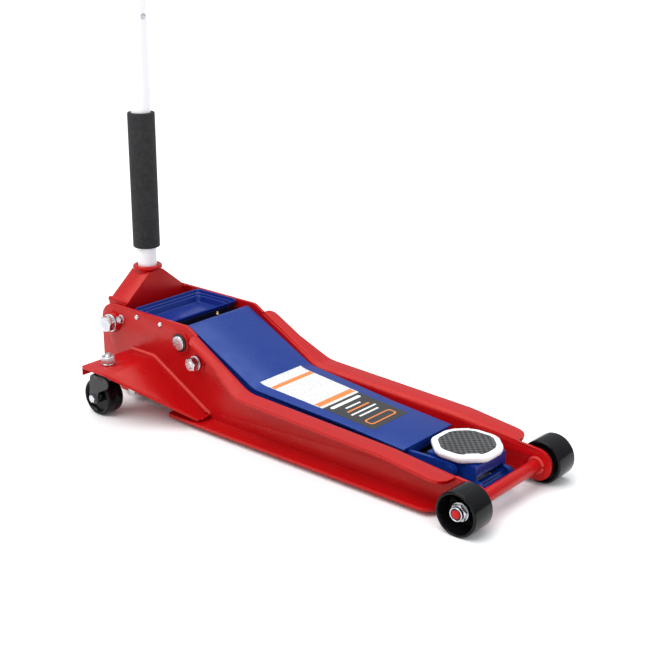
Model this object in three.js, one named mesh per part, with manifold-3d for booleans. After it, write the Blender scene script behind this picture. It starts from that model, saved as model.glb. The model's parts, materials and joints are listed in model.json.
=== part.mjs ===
// Low-profile hydraulic trolley jack with a long chassis, its lift arm down and its handle upright.
// Millimetres, +Z up. While modelling, x = 0 is the front axle and +X points forward, to the saddle;
// +Y is the left side. The last lines move the whole jack so that its origin is the middle of its
// bounding box at floor level.
import * as THREE from 'three';
import { mergeVertices } from 'three/addons/utils/BufferGeometryUtils.js';
import Module from 'manifold-3d';

const wasm = await Module();
wasm.setup();

// ---------------------------------------------------------------- driving dimensions
const gap = 0.3;                 // between pieces that touch on the real jack
const boreClearance = 0.3;       // radial, between a pin and the hole it sits in
const runningClearance = 0.5;    // radial, where one piece turns or slides on another

const frontWheel = { radius: 38, width: 50, plateGap: 6, rim: 5, dish: 26, hub: 15.5 };
const axle = { x: 0, z: frontWheel.radius, radius: 8.5 };
const axleNut = { washerRadius: 16, washerThickness: 2.5, flats: 26.6 };
const frontTubeRadius = 11.5;

const chassis = {
  rear: -889,
  outer: 94,                     // outer faces of the two side plates, from the middle
  thickness: 6,
  top: 184,
  bottom: 10,
  noseRadius: 27,
  rearCorner: 34,
  knee: -648,
  slopeEnd: [-488, 95.5],
  railEnd: [-160, 84],
  noseStart: [-33, 31],          // the second number is above the front axle
};
const chassisInner = chassis.outer - chassis.thickness;
const wheelStart = chassis.outer + frontWheel.plateGap;
const flange = {
  start: -625,
  wheelGap: 2,                   // between its front end and the back of the front wheel
  slopeReach: 22,                // how far it stands out from the plate on the slope, and then along the rail
  reach: 36.5,
  widenStart: -575,
  widenEnd: -475,
  bend: 4,
  startCorner: 15,
  endCorner: 25,
};
const flangeEnd = axle.x - frontWheel.radius - flange.wheelGap;
const lowerFlange = { start: -670, wheelGap: 22, reach: 36, corner: 25 };

const wing = {
  rear: -812,
  kneeX: -738,
  front: -592,
  top: 103,
  thickness: 5,
  reach: 125,                    // from the side plate to its outer edge, and to its edge at the front
  frontReach: 27,
  lip: 20,
};
const wingEdge = chassis.outer + wing.reach;
const wingFoot = chassis.bottom + chassis.thickness + gap + 5.7;   // top face where it meets the flange

const caster = {
  x: -776,
  plateGap: 84,                  // from the side plate to the stem
  trail: 18,
  radius: 36,
  width: 38,
  hub: 11,
  bolt: 5,
  stem: 6,
  raceRadius: 24,
  crown: 26,
  crownTop: 87.5,
  plate: 4,
  sweep: 29.5,                   // the fork's top stays inside this circle, clear of the wing's lip
  sweepBottom: 81,
};
const casterY = chassis.outer + caster.plateGap;

const armPivot = { x: -663, z: 150, radius: 14 };
const linkAnchor = { x: -620, z: 121 };
const linkPinRadius = 7;
const armFront = { x: -75, z: 57 };
const rodFront = {
  x: armFront.x + linkAnchor.x - armPivot.x,
  z: armFront.z + linkAnchor.z - armPivot.z,
};
const rodKnee = { x: -515, z: 70 };
const rodEnd = 13;
const rodDepth = 20;
const rodInner = 45.2;
const rodThickness = 6;

const arm = {
  cover: 4.5,
  plate: 6,
  inset: 1,                      // the side plates sit this far in from the cover's edge at the rear
  plateGap: 8,                   // between its rear end and the chassis
  frontHalf: 69.5,
  plateFrontHalf: 58,            // the side plates draw in further than the cover
  taperStart: -480,
  taperEnd: -290,
  front: -160,
  lug: 25,
  tube: 20,
};

const armRearHalf = chassisInner - arm.plateGap;

const crank = { radius: 75, startAngle: 22, inner: 24, thickness: 8, pin: 10, end: 16 };
const crankPin = {
  x: armPivot.x - crank.radius * Math.sin(THREE.MathUtils.degToRad(crank.startAngle)),
  z: armPivot.z - crank.radius * Math.cos(THREE.MathUtils.degToRad(crank.startAngle)),
};

const pump = { rear: -822, front: -762, half: 34, bottom: 12, top: 154, socket: 40 };
const ram = { z: 78, rod: 14, bore: 19.5, outer: 25, front: -722, gland: 10, endWall: 6, piston: 6 };
const crosshead = { half: 20, side: 23, top: 96, bottom: 58, earZ: 47, earHalf: 48, earDepth: 11 };
const spring = { y: 42, radius: 6, wire: 1.1, turns: 7, anchorX: -801 };
const tieRod = { x: -800, z: 21, radius: 8 };

const saddle = { x: -82, half: 58, chamfer: 26, bottom: 70, rim: 84, ear: 87.5, stem: 12 };
const pad = { half: 46, chamfer: 20, bottom: 76, top: 86 };
const bracket = { rear: -130, front: -34, half: 44.5, thickness: 7, top: 70, roof: 8 };

const tray = { rear: -804, front: -691, bottom: 157, wall: 3, step: 6, stepDepth: 10, corner: 9 };

const yokePivot = { x: -855, z: 148, radius: 9 };
const yoke = { half: 25, wall: 6, plateGap: 6, shoulder: 184, neck: 236, neckHalf: 18 };
const yokeSide = chassisInner - yoke.plateGap;
const collar = { ring: 5, z: 241 };
const roller = { arm: 24, startAngle: 30, radius: 9, half: 8, finger: 6, pin: 4 };
const plunger = { radius: 7.5, travel: 27.4, restGap: 1.6 };
const releaseValve = { radius: 5, end: -834 };

const handle = { radius: 19, wall: 3, bottom: 167, joint: 760, top: 1290 };
const foam = { bottom: 282, top: 548, radius: 26.5 };
const grip = { bottom: 1155, radius: 22.5 };
const spigot = { length: 70, wall: 3 };
const button = { radius: 4.5, z: 728, proud: 2.5 };

// ---------------------------------------------------------------- materials
const finish = (color, roughness, metalness) =>
  new THREE.MeshStandardMaterial({ color, roughness, metalness });
const red = finish(0xb80d12, 0.35, 0.1);
const blue = finish(0x0a2aa0, 0.3, 0.1);
const white = finish(0xf1f1f4, 0.35, 0.0);
const zinc = finish(0xc9ccd0, 0.3, 0.9);
const steel = finish(0x8d9196, 0.35, 0.9);
const blackSteel = finish(0x141416, 0.4, 0.4);
const castIron = finish(0x2a2b2e, 0.6, 0.5);
const brass = finish(0xb58a3a, 0.35, 0.9);
const nylon = finish(0x0e0e10, 0.3, 0.0);
const rubber = finish(0x202022, 0.8, 0.0);

// ---------------------------------------------------------------- solids and booleans
function solid(geometry) {
  const bare = geometry.clone();
  bare.deleteAttribute('normal');
  bare.deleteAttribute('uv');
  const merged = mergeVertices(bare, 1e-4);
  const corners = merged.index.array;
  const triangles = [];
  for (let i = 0; i < corners.length; i += 3) {
    const [a, b, c] = [corners[i], corners[i + 1], corners[i + 2]];
    if (a !== b && b !== c && c !== a) triangles.push(a, b, c);
  }
  return new wasm.Manifold(new wasm.Mesh({
    numProp: 3,
    vertProperties: new Float32Array(merged.attributes.position.array),
    triVerts: new Uint32Array(triangles),
  }));
}

function surface(body) {
  const mesh = body.getMesh();
  const geometry = new THREE.BufferGeometry();
  geometry.setAttribute('position', new THREE.BufferAttribute(mesh.vertProperties, 3));
  geometry.setIndex(new THREE.BufferAttribute(mesh.triVerts, 1));
  return geometry;
}

const join = (first, ...others) =>
  surface(others.reduce((sum, piece) => sum.add(solid(piece)), solid(first)));
const cut = (first, ...tools) =>
  surface(tools.reduce((rest, tool) => rest.subtract(solid(tool)), solid(first)));
const common = (first, second) => surface(solid(first).intersect(solid(second)));

// ---------------------------------------------------------------- outlines
// Corners are [x, y, radius]; each one is rounded by an arc of its radius.
function rounded(corners, step = Math.PI / 12) {
  const points = [];
  corners.forEach(([x, y, radius = 0], i) => {
    const corner = new THREE.Vector2(x, y);
    if (radius === 0) {
      points.push(corner);
      return;
    }
    const before = corners[(i + corners.length - 1) % corners.length];
    const after = corners[(i + 1) % corners.length];
    const back = new THREE.Vector2(before[0] - x, before[1] - y).normalize();
    const ahead = new THREE.Vector2(after[0] - x, after[1] - y).normalize();
    const half = Math.acos(back.dot(ahead)) / 2;
    const centre = back.clone().add(ahead).normalize().multiplyScalar(radius / Math.sin(half)).add(corner);
    const start = back.clone().multiplyScalar(radius / Math.tan(half)).add(corner);
    const turn = (Math.PI - 2 * half) * Math.sign(ahead.cross(back));
    const steps = Math.max(1, Math.ceil(Math.abs(turn) / step));
    for (let k = 0; k <= steps; k += 1) {
      points.push(start.clone().rotateAround(centre, turn * k / steps));
    }
  });
  return points;
}

// The unit normal on the right-hand side of an open path, mitred at each point.
function rightNormals(path) {
  return path.map((point, i) => {
    const ahead = path[Math.min(i + 1, path.length - 1)].clone().sub(path[Math.min(i, path.length - 2)]);
    const back = path[Math.max(i, 1)].clone().sub(path[Math.max(i - 1, 0)]);
    const a = new THREE.Vector2(ahead.y, -ahead.x).normalize();
    const b = new THREE.Vector2(back.y, -back.x).normalize();
    const middle = a.clone().add(b).normalize();
    return middle.divideScalar(middle.dot(a));
  });
}

function offset(path, distance) {
  const normals = rightNormals(path);
  return path.map((point, i) => point.clone().addScaledVector(normals[i], distance));
}

const band = (path, thickness) => [...path, ...offset(path, thickness).reverse()];

// The stretch of a path that runs in +x, between two values of x.
function clip(path, from, to) {
  const points = [];
  for (let i = 0; i + 1 < path.length; i += 1) {
    const [a, b] = [path[i], path[i + 1]];
    for (const x of [from, to]) {
      if (a.x < x && x <= b.x) points.push(a.clone().lerp(b, (x - a.x) / (b.x - a.x)));
    }
    if (b.x > from && b.x < to) points.push(b);
  }
  return points.sort((p, q) => p.x - q.x);
}

function pointAt(path, x) {
  const i = Math.max(1, path.findIndex((point) => point.x >= x));
  const [a, b] = [path[i - 1], path[i]];
  return a.clone().lerp(b, (x - a.x) / (b.x - a.x));
}

const octagon = (half, chamfer, radius) => rounded([
  [half, -(half - chamfer), radius],
  [half, half - chamfer, radius],
  [half - chamfer, half, radius],
  [-(half - chamfer), half, radius],
  [-half, half - chamfer, radius],
  [-half, -(half - chamfer), radius],
  [-(half - chamfer), -half, radius],
  [half - chamfer, -half, radius],
]);

// ---------------------------------------------------------------- plain solids
const extrude = (outline, depth) =>
  new THREE.ExtrudeGeometry(new THREE.Shape(outline), { depth, bevelEnabled: false });
const prismZ = (outline, [z0, z1]) => extrude(outline, z1 - z0).translate(0, 0, z0);
const prismY = (outline, [y0, y1]) => extrude(outline, y1 - y0).rotateX(Math.PI / 2).translate(0, y1, 0);
const turnToX = new THREE.Matrix4().makeBasis(
  new THREE.Vector3(0, 1, 0),
  new THREE.Vector3(0, 0, 1),
  new THREE.Vector3(1, 0, 0),
);
const prismX = (outline, [x0, x1]) => extrude(outline, x1 - x0).applyMatrix4(turnToX).translate(x0, 0, 0);

const box = ([x0, x1], [y0, y1], [z0, z1]) =>
  new THREE.BoxGeometry(x1 - x0, y1 - y0, z1 - z0).translate((x0 + x1) / 2, (y0 + y1) / 2, (z0 + z1) / 2);
const drum = (radius, length, sides) => new THREE.CylinderGeometry(radius, radius, length, sides);
const rodX = (radius, [x0, x1], y, z, sides = 16) =>
  drum(radius, x1 - x0, sides).rotateZ(Math.PI / 2).translate((x0 + x1) / 2, y, z);
const rodY = (radius, [y0, y1], x, z, sides = 16) => drum(radius, y1 - y0, sides).translate(x, (y0 + y1) / 2, z);
const rodZ = (radius, [z0, z1], x, y, sides = 16) =>
  drum(radius, z1 - z0, sides).rotateX(Math.PI / 2).translate(x, y, (z0 + z1) / 2);
const acrossFlats = (flats) => flats / Math.sqrt(3);

// A profile of [radius, height] turned about the height axis, which is Y unless it is stood up.
const turned = (profile, sides) =>
  new THREE.LatheGeometry(profile.map(([r, h]) => new THREE.Vector2(r, h)), sides);
const turnedZ = (profile, sides) => turned(profile, sides).rotateX(Math.PI / 2);

// Turns a geometry inside out, for a mirrored or left-handed shape.
function reversed(geometry) {
  const index = geometry.index.array;
  for (let i = 0; i < index.length; i += 3) [index[i], index[i + 1]] = [index[i + 1], index[i]];
  return geometry;
}

// A closed skin over rings that all have the same number of points, in either direction.
function loft(outline, rings) {
  const count = outline.length;
  const positions = rings.flat().flatMap((point) => point.toArray());
  const index = [];
  for (let r = 0; r + 1 < rings.length; r += 1) {
    for (let k = 0; k < count; k += 1) {
      const a = r * count + k;
      const b = r * count + (k + 1) % count;
      index.push(a, b, b + count, a, b + count, a + count);
    }
  }
  const last = (rings.length - 1) * count;
  for (const [a, b, c] of THREE.ShapeUtils.triangulateShape(outline, [])) {
    index.push(a, c, b, last + a, last + b, last + c);
  }
  const geometry = new THREE.BufferGeometry();
  geometry.setAttribute('position', new THREE.Float32BufferAttribute(positions, 3));
  geometry.setIndex(index);
  return solid(geometry).volume() < 0 ? reversed(geometry) : geometry;
}

const forSide = (geometry, side) => {
  const piece = surface(solid(geometry));
  return side > 0 ? piece : reversed(piece.scale(1, -1, 1));
};

// ---------------------------------------------------------------- the scene
const jack = new THREE.Group();
const sides = [[1, 'left'], [-1, 'right']];

function add(name, geometry, material, x = 0, y = 0, z = 0) {
  const mesh = new THREE.Mesh(geometry, material);
  mesh.name = name;
  mesh.position.set(x, y, z);
  jack.add(mesh);
}

// ---------------------------------------------------------------- chassis side plates
const plateOutline = rounded([
  [chassis.rear, chassis.top, chassis.rearCorner],
  [chassis.knee, chassis.top, 20],
  [...chassis.slopeEnd, 55],
  [...chassis.railEnd, 150],
  [chassis.noseStart[0], axle.z + chassis.noseStart[1], 30],
  [chassis.noseRadius, axle.z + chassis.noseRadius, chassis.noseRadius],
  [chassis.noseRadius, axle.z - chassis.noseRadius - 1, chassis.noseRadius],
  [chassis.rear + 48, chassis.bottom, 8],
  [chassis.rear, 72, 8],
], Math.PI / 12);

const flangePath = clip(plateOutline, flange.start, flangeEnd);

// The top flange's section, [distance from the middle, height above the plate's edge], and the
// section of the corner that its bend takes off the plate.
function flangeSection(edge) {
  const t = chassis.thickness;
  return rounded([
    [chassisInner + t / 2, -t - 2 * flange.bend],
    [chassis.outer, -t - flange.bend],
    [chassis.outer, -t, flange.bend - 0.1],
    [edge, -t],
    [edge, 0],
    [chassisInner + t / 2, 0],
  ], Math.PI / 6);
}

function bendCorner() {
  const outerBend = flange.bend + chassis.thickness;
  const arc = rounded([
    [chassisInner, -outerBend],
    [chassisInner, 0, outerBend - 0.1],
    [chassisInner + outerBend, 0],
  ], Math.PI / 8);
  return [
    ...arc,
    new THREE.Vector2(chassisInner + outerBend, 2),
    new THREE.Vector2(chassisInner - 2, 2),
    new THREE.Vector2(chassisInner - 2, -outerBend),
  ];
}

// The flange's outer edge: narrow on the slope, wider along the rail, and round at both corners.
function flangeEdge(x) {
  const widened = THREE.MathUtils.smoothstep(x, flange.widenStart, flange.widenEnd);
  const reach = THREE.MathUtils.lerp(flange.slopeReach, flange.reach, widened);
  const intoStart = Math.max(0, flange.start + flange.startCorner - x) / flange.startCorner;
  const intoEnd = Math.max(0, x - flangeEnd + flange.endCorner) / flange.endCorner;
  const drop = (into, corner) => corner * (1 - Math.sqrt(Math.max(0, 1 - into * into)));
  return chassis.outer + reach - drop(intoStart, flange.startCorner) - drop(intoEnd, flange.endCorner);
}

// A section carried along the plate's top edge; section(x) has the same number of points all along.
function alongTop(section, stations) {
  const path = stations.map((x) => pointAt(flangePath, x));
  const normals = rightNormals(path);
  const rings = path.map((point, i) => section(point.x).map(({ x: y, y: up }) =>
    new THREE.Vector3(point.x - normals[i].x * up, y, point.y - normals[i].y * up)));
  return loft(section(path[0].x), rings);
}

function topFlange() {
  const roundingSteps = [0, 0.08, 0.3, 0.6, 1];
  const stations = [
    ...roundingSteps.map((s) => flange.start + s * flange.startCorner),
    ...flangePath.map((point) => point.x),
    ...[0.2, 0.5, 0.8, 1].map((s) => THREE.MathUtils.lerp(flange.widenStart, flange.widenEnd, s)),
    ...roundingSteps.map((s) => flangeEnd - s * flange.endCorner),
  ].sort((a, b) => a - b).filter((x, i, all) => i === 0 || x - all[i - 1] > 0.5);
  return alongTop((x) => flangeSection(flangeEdge(x)), stations);
}

function sidePlate() {
  const bendCut = alongTop(bendCorner, flangePath.map((point) => point.x));
  const lowerReach = chassis.outer + lowerFlange.reach;
  const lowerEnd = axle.x - frontWheel.radius - lowerFlange.wheelGap;
  const lowerEdge = rounded([
    [lowerFlange.start, chassis.outer - 1],
    [lowerFlange.start, lowerReach, 6],
    [lowerEnd, lowerReach, lowerFlange.corner],
    [lowerEnd, chassis.outer - 1],
  ]);
  const bosses = [
    rodY(22, [chassis.outer - 1, chassis.outer + 4.5], armPivot.x, armPivot.z, 24),
    rodY(17, [chassis.outer - 1, chassis.outer + 3], linkAnchor.x, linkAnchor.z),
    rodY(19, [chassis.outer - 1, chassis.outer + 3], yokePivot.x, yokePivot.z),
  ];
  const through = [chassisInner - 5, chassis.outer + 20];
  return cut(
    join(
      prismY(plateOutline, [chassisInner, chassis.outer]),
      topFlange(),
      prismZ(lowerEdge, [chassis.bottom, chassis.bottom + chassis.thickness]),
      ...bosses,
    ),
    bendCut,
    rodY(axle.radius + boreClearance, through, axle.x, axle.z),
    rodY(armPivot.radius + boreClearance, through, armPivot.x, armPivot.z, 24),
    rodY(linkPinRadius + boreClearance, through, linkAnchor.x, linkAnchor.z),
    rodY(yokePivot.radius + boreClearance, through, yokePivot.x, yokePivot.z),
    rodY(tieRod.radius + boreClearance, through, tieRod.x, tieRod.z),
  );
}

for (const [side, name] of sides) add(`side_plate_${name}`, forSide(sidePlate(), side), red);

// ---------------------------------------------------------------- caster wings
function casterWing() {
  const inner = chassis.outer + gap;
  const path = rounded([
    [wing.rear, wing.top - wing.lip],
    [wing.rear, wing.top, 8],
    [wing.kneeX, wing.top, 22],
    [wing.front, wingFoot],
  ]);
  const plan = rounded([
    [wing.rear - 1, inner],
    [wing.rear - 1, wingEdge, 14],
    [wing.kneeX, wingEdge, 30],
    [wing.front + 2, chassis.outer + wing.frontReach, 6],
    [wing.front + 2, inner],
  ]);
  const sheet = prismY(band(path, wing.thickness), [inner, wingEdge + 5]);
  return cut(
    common(sheet, prismZ(plan, [0, wing.top + 10])),
    rodZ(caster.stem + boreClearance, [wing.top - 20, wing.top + 5], caster.x, casterY),
  );
}

for (const [side, name] of sides) add(`caster_wing_${name}`, forSide(casterWing(), side), red);

// ---------------------------------------------------------------- front axle, its tube, nuts and wheels
const betweenPlates = [-(chassisInner - gap), chassisInner - gap];
add('front_tube', cut(
  rodY(frontTubeRadius, betweenPlates, axle.x, axle.z, 24),
  rodY(axle.radius + boreClearance, [-200, 200], axle.x, axle.z, 24),
), red);

const wheelEnd = wheelStart + frontWheel.width;
const hubEnd = wheelEnd - frontWheel.dish + 10;
add('front_axle', rodY(axle.radius, [-(wheelEnd - 1), wheelEnd - 1], 0, 0, 24), red, axle.x, 0, axle.z);

function frontWheelBody() {
  const { radius, rim, hub, dish } = frontWheel;
  const start = wheelStart;
  const bore = axle.radius + runningClearance;
  const inner = radius - rim;
  return turned([
    [bore, start - 3],
    [hub + 3, start - 3],
    [hub + 3, start + 7],
    [inner, start + 7],
    [inner, start],
    [radius - 2.5, start],
    [radius, start + 2.5],
    [radius, wheelEnd - 3],
    [radius - 2, wheelEnd - 0.5],
    [inner + 1.5, wheelEnd],
    [inner, wheelEnd - 1.5],
    [inner - 2.5, wheelEnd - dish],
    [hub + 1.5, wheelEnd - dish],
    [hub, hubEnd],
    [bore, hubEnd],
    [bore, start - 3],
  ], 28);
}

function axleNutBody() {
  const base = hubEnd + gap;
  const washerTop = base + axleNut.washerThickness;
  return cut(
    join(
      rodY(axleNut.washerRadius, [base, washerTop], 0, 0, 24),
      rodY(acrossFlats(axleNut.flats), [washerTop - 0.5, wheelEnd - 1.5], 0, 0, 6),
    ),
    rodY(axle.radius + boreClearance, [base - 5, wheelEnd + 5], 0, 0, 24),
  );
}

for (const [side, name] of sides) {
  add(`front_wheel_${name}`, forSide(frontWheelBody(), side), nylon, axle.x, 0, axle.z);
  add(`axle_nut_${name}`, forSide(axleNutBody(), side), zinc, axle.x, 0, axle.z);
}

// ---------------------------------------------------------------- casters
const raceTop = wing.top - wing.thickness - gap;
const stemTop = wing.top + 21;

function casterStem() {
  const base = wing.top + gap;
  return join(
    rodZ(caster.stem, [caster.crownTop - 16, stemTop], 0, 0),
    rodZ(13.5, [base, base + 2.5], 0, 0),
    rodZ(acrossFlats(21), [base + 2, base + 14], 0, 0, 6),
  );
}

function casterRace() {
  const bottom = caster.crownTop + gap;
  return turnedZ([
    [caster.stem + boreClearance, bottom],
    [caster.raceRadius - 4, bottom],
    [caster.raceRadius, (bottom + raceTop) / 2],
    [caster.raceRadius - 1, raceTop],
    [caster.stem + boreClearance, raceTop],
    [caster.stem + boreClearance, bottom],
  ], 24);
}

const forkInner = caster.width / 2 + 2;
const forkOuter = forkInner + caster.plate;

function casterFork() {
  const legOutline = rounded([
    [-24, caster.crownTop - 1],
    [-caster.trail - 13, caster.radius + 4, 9],
    [-caster.trail - 11, caster.radius - 11, 9],
    [-caster.trail + 11, caster.radius - 11, 9],
    [-caster.trail + 14, caster.radius + 14, 16],
    [22, caster.crownTop - caster.plate - 9],
    [22, caster.crownTop - 1],
  ]);
  const legs = [-1, 1].map((side) =>
    prismY(legOutline, side > 0 ? [forkInner, forkOuter] : [-forkOuter, -forkInner]));
  const crown = rodZ(caster.crown, [caster.crownTop - caster.plate, caster.crownTop], 0, 0, 24);
  const stampings = box([-24, 22], [-forkOuter, forkOuter], [caster.crownTop - caster.plate, caster.crownTop - 1]);
  const corners = cut(
    rodZ(100, [caster.sweepBottom, caster.crownTop + 5], 0, 0),
    rodZ(caster.sweep, [0, 200], 0, 0, 24),
  );
  return cut(
    join(crown, stampings, ...legs),
    corners,
    rodZ(caster.stem + runningClearance, [40, 120], 0, 0),
    rodY(caster.bolt + boreClearance, [-40, 40], -caster.trail, caster.radius),
  );
}

const casterBolt = join(
  rodY(caster.bolt, [-(forkOuter + 5), forkOuter + 1], 0, 0, 16),
  rodY(acrossFlats(14), [forkOuter + gap, forkOuter + 6], 0, 0, 6),
  rodY(acrossFlats(14), [-(forkOuter + 6), -(forkOuter + gap)], 0, 0, 6),
);

const casterWheelBody = (() => {
  const half = caster.width / 2;
  const bore = caster.bolt + runningClearance;
  const rim = caster.radius - 7;
  return turned([
    [bore, -half],
    [caster.hub, -half],
    [caster.hub + 2, -half + 4],
    [rim - 2, -half + 4],
    [rim, -half],
    [caster.radius - 3, -half],
    [caster.radius, -half + 5],
    [caster.radius, half - 5],
    [caster.radius - 3, half],
    [rim, half],
    [rim - 2, half - 4],
    [caster.hub + 2, half - 4],
    [caster.hub, half],
    [bore, half],
    [bore, -half],
  ], 24);
})();

for (const [side, name] of sides) {
  const y = side * casterY;
  add(`caster_stem_${name}`, casterStem(), zinc, caster.x, y);
  add(`caster_race_${name}`, casterRace(), zinc, caster.x, y);
  add(`caster_fork_${name}`, casterFork(), blackSteel, caster.x, y);
  add(`caster_axle_bolt_${name}`, casterBolt.clone(), zinc, caster.x - caster.trail, y, caster.radius);
  add(`caster_wheel_${name}`, casterWheelBody.clone(), nylon, caster.x - caster.trail, y, caster.radius);
}

// ---------------------------------------------------------------- tool tray
function trayBody() {
  const half = chassisInner - gap;
  const outline = (inset, radius) => rounded([
    [tray.rear + inset, -(half - inset), radius],
    [tray.front - inset, -(half - inset), radius],
    [tray.front - inset, half - inset, radius],
    [tray.rear + inset, half - inset, radius],
  ]);
  const shelf = chassis.top - tray.stepDepth;
  const floor = tray.bottom + tray.wall;
  return cut(
    prismZ(outline(0, tray.corner), [tray.bottom, chassis.top]),
    prismZ(outline(tray.wall, tray.corner - tray.wall), [shelf, chassis.top + 1]),
    prismZ(outline(tray.wall + tray.step, tray.corner), [floor, shelf + 1]),
  );
}
add('tool_tray', trayBody(), blue);

// ---------------------------------------------------------------- hydraulic unit
const springAnchor = box(
  [spring.anchorX - 5, spring.anchorX + 5],
  [-crosshead.earHalf, crosshead.earHalf],
  [crosshead.earZ - 5.5, crosshead.earZ + 5.5],
);
const rollerRest = {
  x: yokePivot.x - roller.arm * Math.sin(THREE.MathUtils.degToRad(roller.startAngle)),
  z: yokePivot.z - roller.arm * Math.cos(THREE.MathUtils.degToRad(roller.startAngle)),
};
const plungerZ = (rollerRest.z + yokePivot.z - roller.arm) / 2;
const plungerBore = [pump.rear - 5, pump.rear + 45];

add('pump_block', cut(
  join(box([pump.rear, pump.front], [-pump.half, pump.half], [pump.bottom, pump.top]), springAnchor),
  rodX(plunger.radius + runningClearance, plungerBore, 0, plungerZ),
  rodX(releaseValve.radius + runningClearance, plungerBore, 0, yokePivot.z, 16),
  rodY(tieRod.radius + boreClearance, [-60, 60], tieRod.x, tieRod.z),
  rodX(ram.outer + boreClearance, [pump.front - pump.socket, pump.front + 5], 0, ram.z, 24),
  rodZ(6 + boreClearance, [pump.top - 8, pump.top + 5], pump.front - 12, 20, 16),
), castIron);

add('filler_plug', join(
  rodZ(6, [pump.top - 7, pump.top + 1], 0, 0, 16),
  rodZ(acrossFlats(13), [pump.top + gap, pump.top + 2.4], 0, 0, 6),
), brass, pump.front - 12, 20, 0);

add('tie_rod', join(
  rodY(tieRod.radius, [-(chassis.outer + 4), chassis.outer + 4], 0, 0),
  rodY(acrossFlats(20), [chassis.outer + gap, chassis.outer + 10], 0, 0, 6),
  rodY(acrossFlats(20), [-(chassis.outer + 10), -(chassis.outer + gap)], 0, 0, 6),
), zinc, tieRod.x, 0, tieRod.z);

const cylinderRear = pump.front - pump.socket + gap;
const boreRear = cylinderRear + ram.endWall;
add('ram_cylinder', cut(
  rodX(ram.outer, [cylinderRear, ram.front], 0, ram.z, 24),
  rodX(ram.bore, [boreRear, ram.front - ram.gland], 0, ram.z, 24),
  rodX(ram.rod + runningClearance, [boreRear, ram.front + 5], 0, ram.z, 24),
), castIron);

const crossheadX = crankPin.x;
const blockRear = crossheadX - crosshead.half;
const blockFront = crossheadX + crosshead.half;
const pistonRear = boreRear + runningClearance;
add('ram_rod', join(
  rodX(ram.rod, [pistonRear, blockRear - gap], 0, ram.z, 24),
  rodX(ram.bore - runningClearance, [pistonRear, pistonRear + ram.piston], 0, ram.z, 24),
), steel);

const pinLow = armPivot.z - crank.radius;
const slotHalf = crank.pin + runningClearance;
add('crosshead', cut(
  join(
    box([blockRear, blockFront], [-crosshead.side, crosshead.side], [crosshead.bottom - 10, crosshead.top]),
    box(
      [blockRear, blockRear + 10],
      [-crosshead.earHalf, crosshead.earHalf],
      [crosshead.earZ - crosshead.earDepth / 2, crosshead.earZ + crosshead.earDepth / 2],
    ),
  ),
  box(
    [crossheadX - slotHalf, crossheadX + slotHalf],
    [-60, 60],
    [pinLow - slotHalf - 0.5, crankPin.z + slotHalf + 0.5],
  ),
), castIron);

class Helix extends THREE.Curve {
  getPoint(t) {
    const angle = 2 * Math.PI * spring.turns * t;
    const length = blockRear - spring.anchorX - 5 - 2 * gap - 4 * spring.wire;
    return new THREE.Vector3(t * length, spring.radius * Math.sin(angle), spring.radius * Math.cos(angle));
  }
}
const wireSection = new THREE.Shape(
  Array.from({ length: 4 }, (_, k) => {
    const angle = Math.PI * k / 2;
    return new THREE.Vector2(spring.wire * Math.cos(angle), spring.wire * Math.sin(angle));
  }),
);
const coil = new THREE.ExtrudeGeometry(wireSection, {
  steps: spring.turns * 8,
  extrudePath: new Helix(),
  bevelEnabled: false,
});
for (const [side, name] of sides) {
  const start = spring.anchorX + 5 + gap + 2 * spring.wire;
  add(`return_spring_${name}`, surface(solid(coil)), steel, start, side * spring.y, crosshead.earZ);
}

// ---------------------------------------------------------------- arm pivot and anchor bolts
const shaftEnd = chassis.outer + 10;
const ringStart = chassis.outer + 4.5 + gap;
add('pivot_shaft', rodY(armPivot.radius, [-shaftEnd, shaftEnd], 0, 0, 24), steel, armPivot.x, 0, armPivot.z);

const pivotRing = cut(
  rodY(17.2, [ringStart, ringStart + 2.5], 0, 0, 24),
  rodY(armPivot.radius + boreClearance, [0, 200], 0, 0, 24),
);

function linkBolt() {
  const washer = chassis.outer + 3 + gap;
  return join(
    rodY(acrossFlats(20), [rodInner - 7, rodInner - gap], 0, 0, 6),
    rodY(linkPinRadius, [rodInner - 1, washer + 20], 0, 0),
    rodY(13, [washer, washer + 2.5], 0, 0),
    rodY(acrossFlats(21), [washer + 2, washer + 13], 0, 0, 6),
  );
}

function yokeBolt() {
  const washer = chassis.outer + 3 + gap;
  return join(
    rodY(yokePivot.radius, [yokeSide - yoke.wall - 4, washer + 2], 0, 0),
    rodY(17.5, [washer, washer + 3], 0, 0),
    rodY(acrossFlats(26), [washer + 2, washer + 14], 0, 0, 6),
  );
}

for (const [side, name] of sides) {
  add(`pivot_ring_${name}`, forSide(pivotRing, side), blackSteel, armPivot.x, 0, armPivot.z);
  add(`link_bolt_${name}`, forSide(linkBolt(), side), zinc, linkAnchor.x, 0, linkAnchor.z);
  add(`yoke_bolt_${name}`, forSide(yokeBolt(), side), zinc, yokePivot.x, 0, yokePivot.z);
}

// ---------------------------------------------------------------- lift arm
const coverPath = rounded([
  [armPivot.x - 14, armPivot.z + 21.5],
  [armPivot.x + 6, armPivot.z + 31.5, 12],
  [-492, 97.5, 50],
  [arm.front, 72.5],
], Math.PI / 24);

const coverRear = armPivot.x - 30;
const armPlan = (rearHalf, frontHalf) => [
  [coverRear, rearHalf],
  [arm.taperStart, rearHalf],
  [arm.taperEnd, frontHalf + 0.5],
  [arm.front, frontHalf],
].map(([x, y]) => new THREE.Vector2(x, y));

const coverPlan = armPlan(armRearHalf, arm.frontHalf);
const mirroredPlan = coverPlan.map((point) => new THREE.Vector2(point.x, -point.y)).reverse();
add('arm_cover', common(
  prismY(band(coverPath, arm.cover), [-armRearHalf - 5, armRearHalf + 5]),
  prismZ([...coverPlan, ...mirroredPlan], [0, 250]),
), blue);

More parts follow.
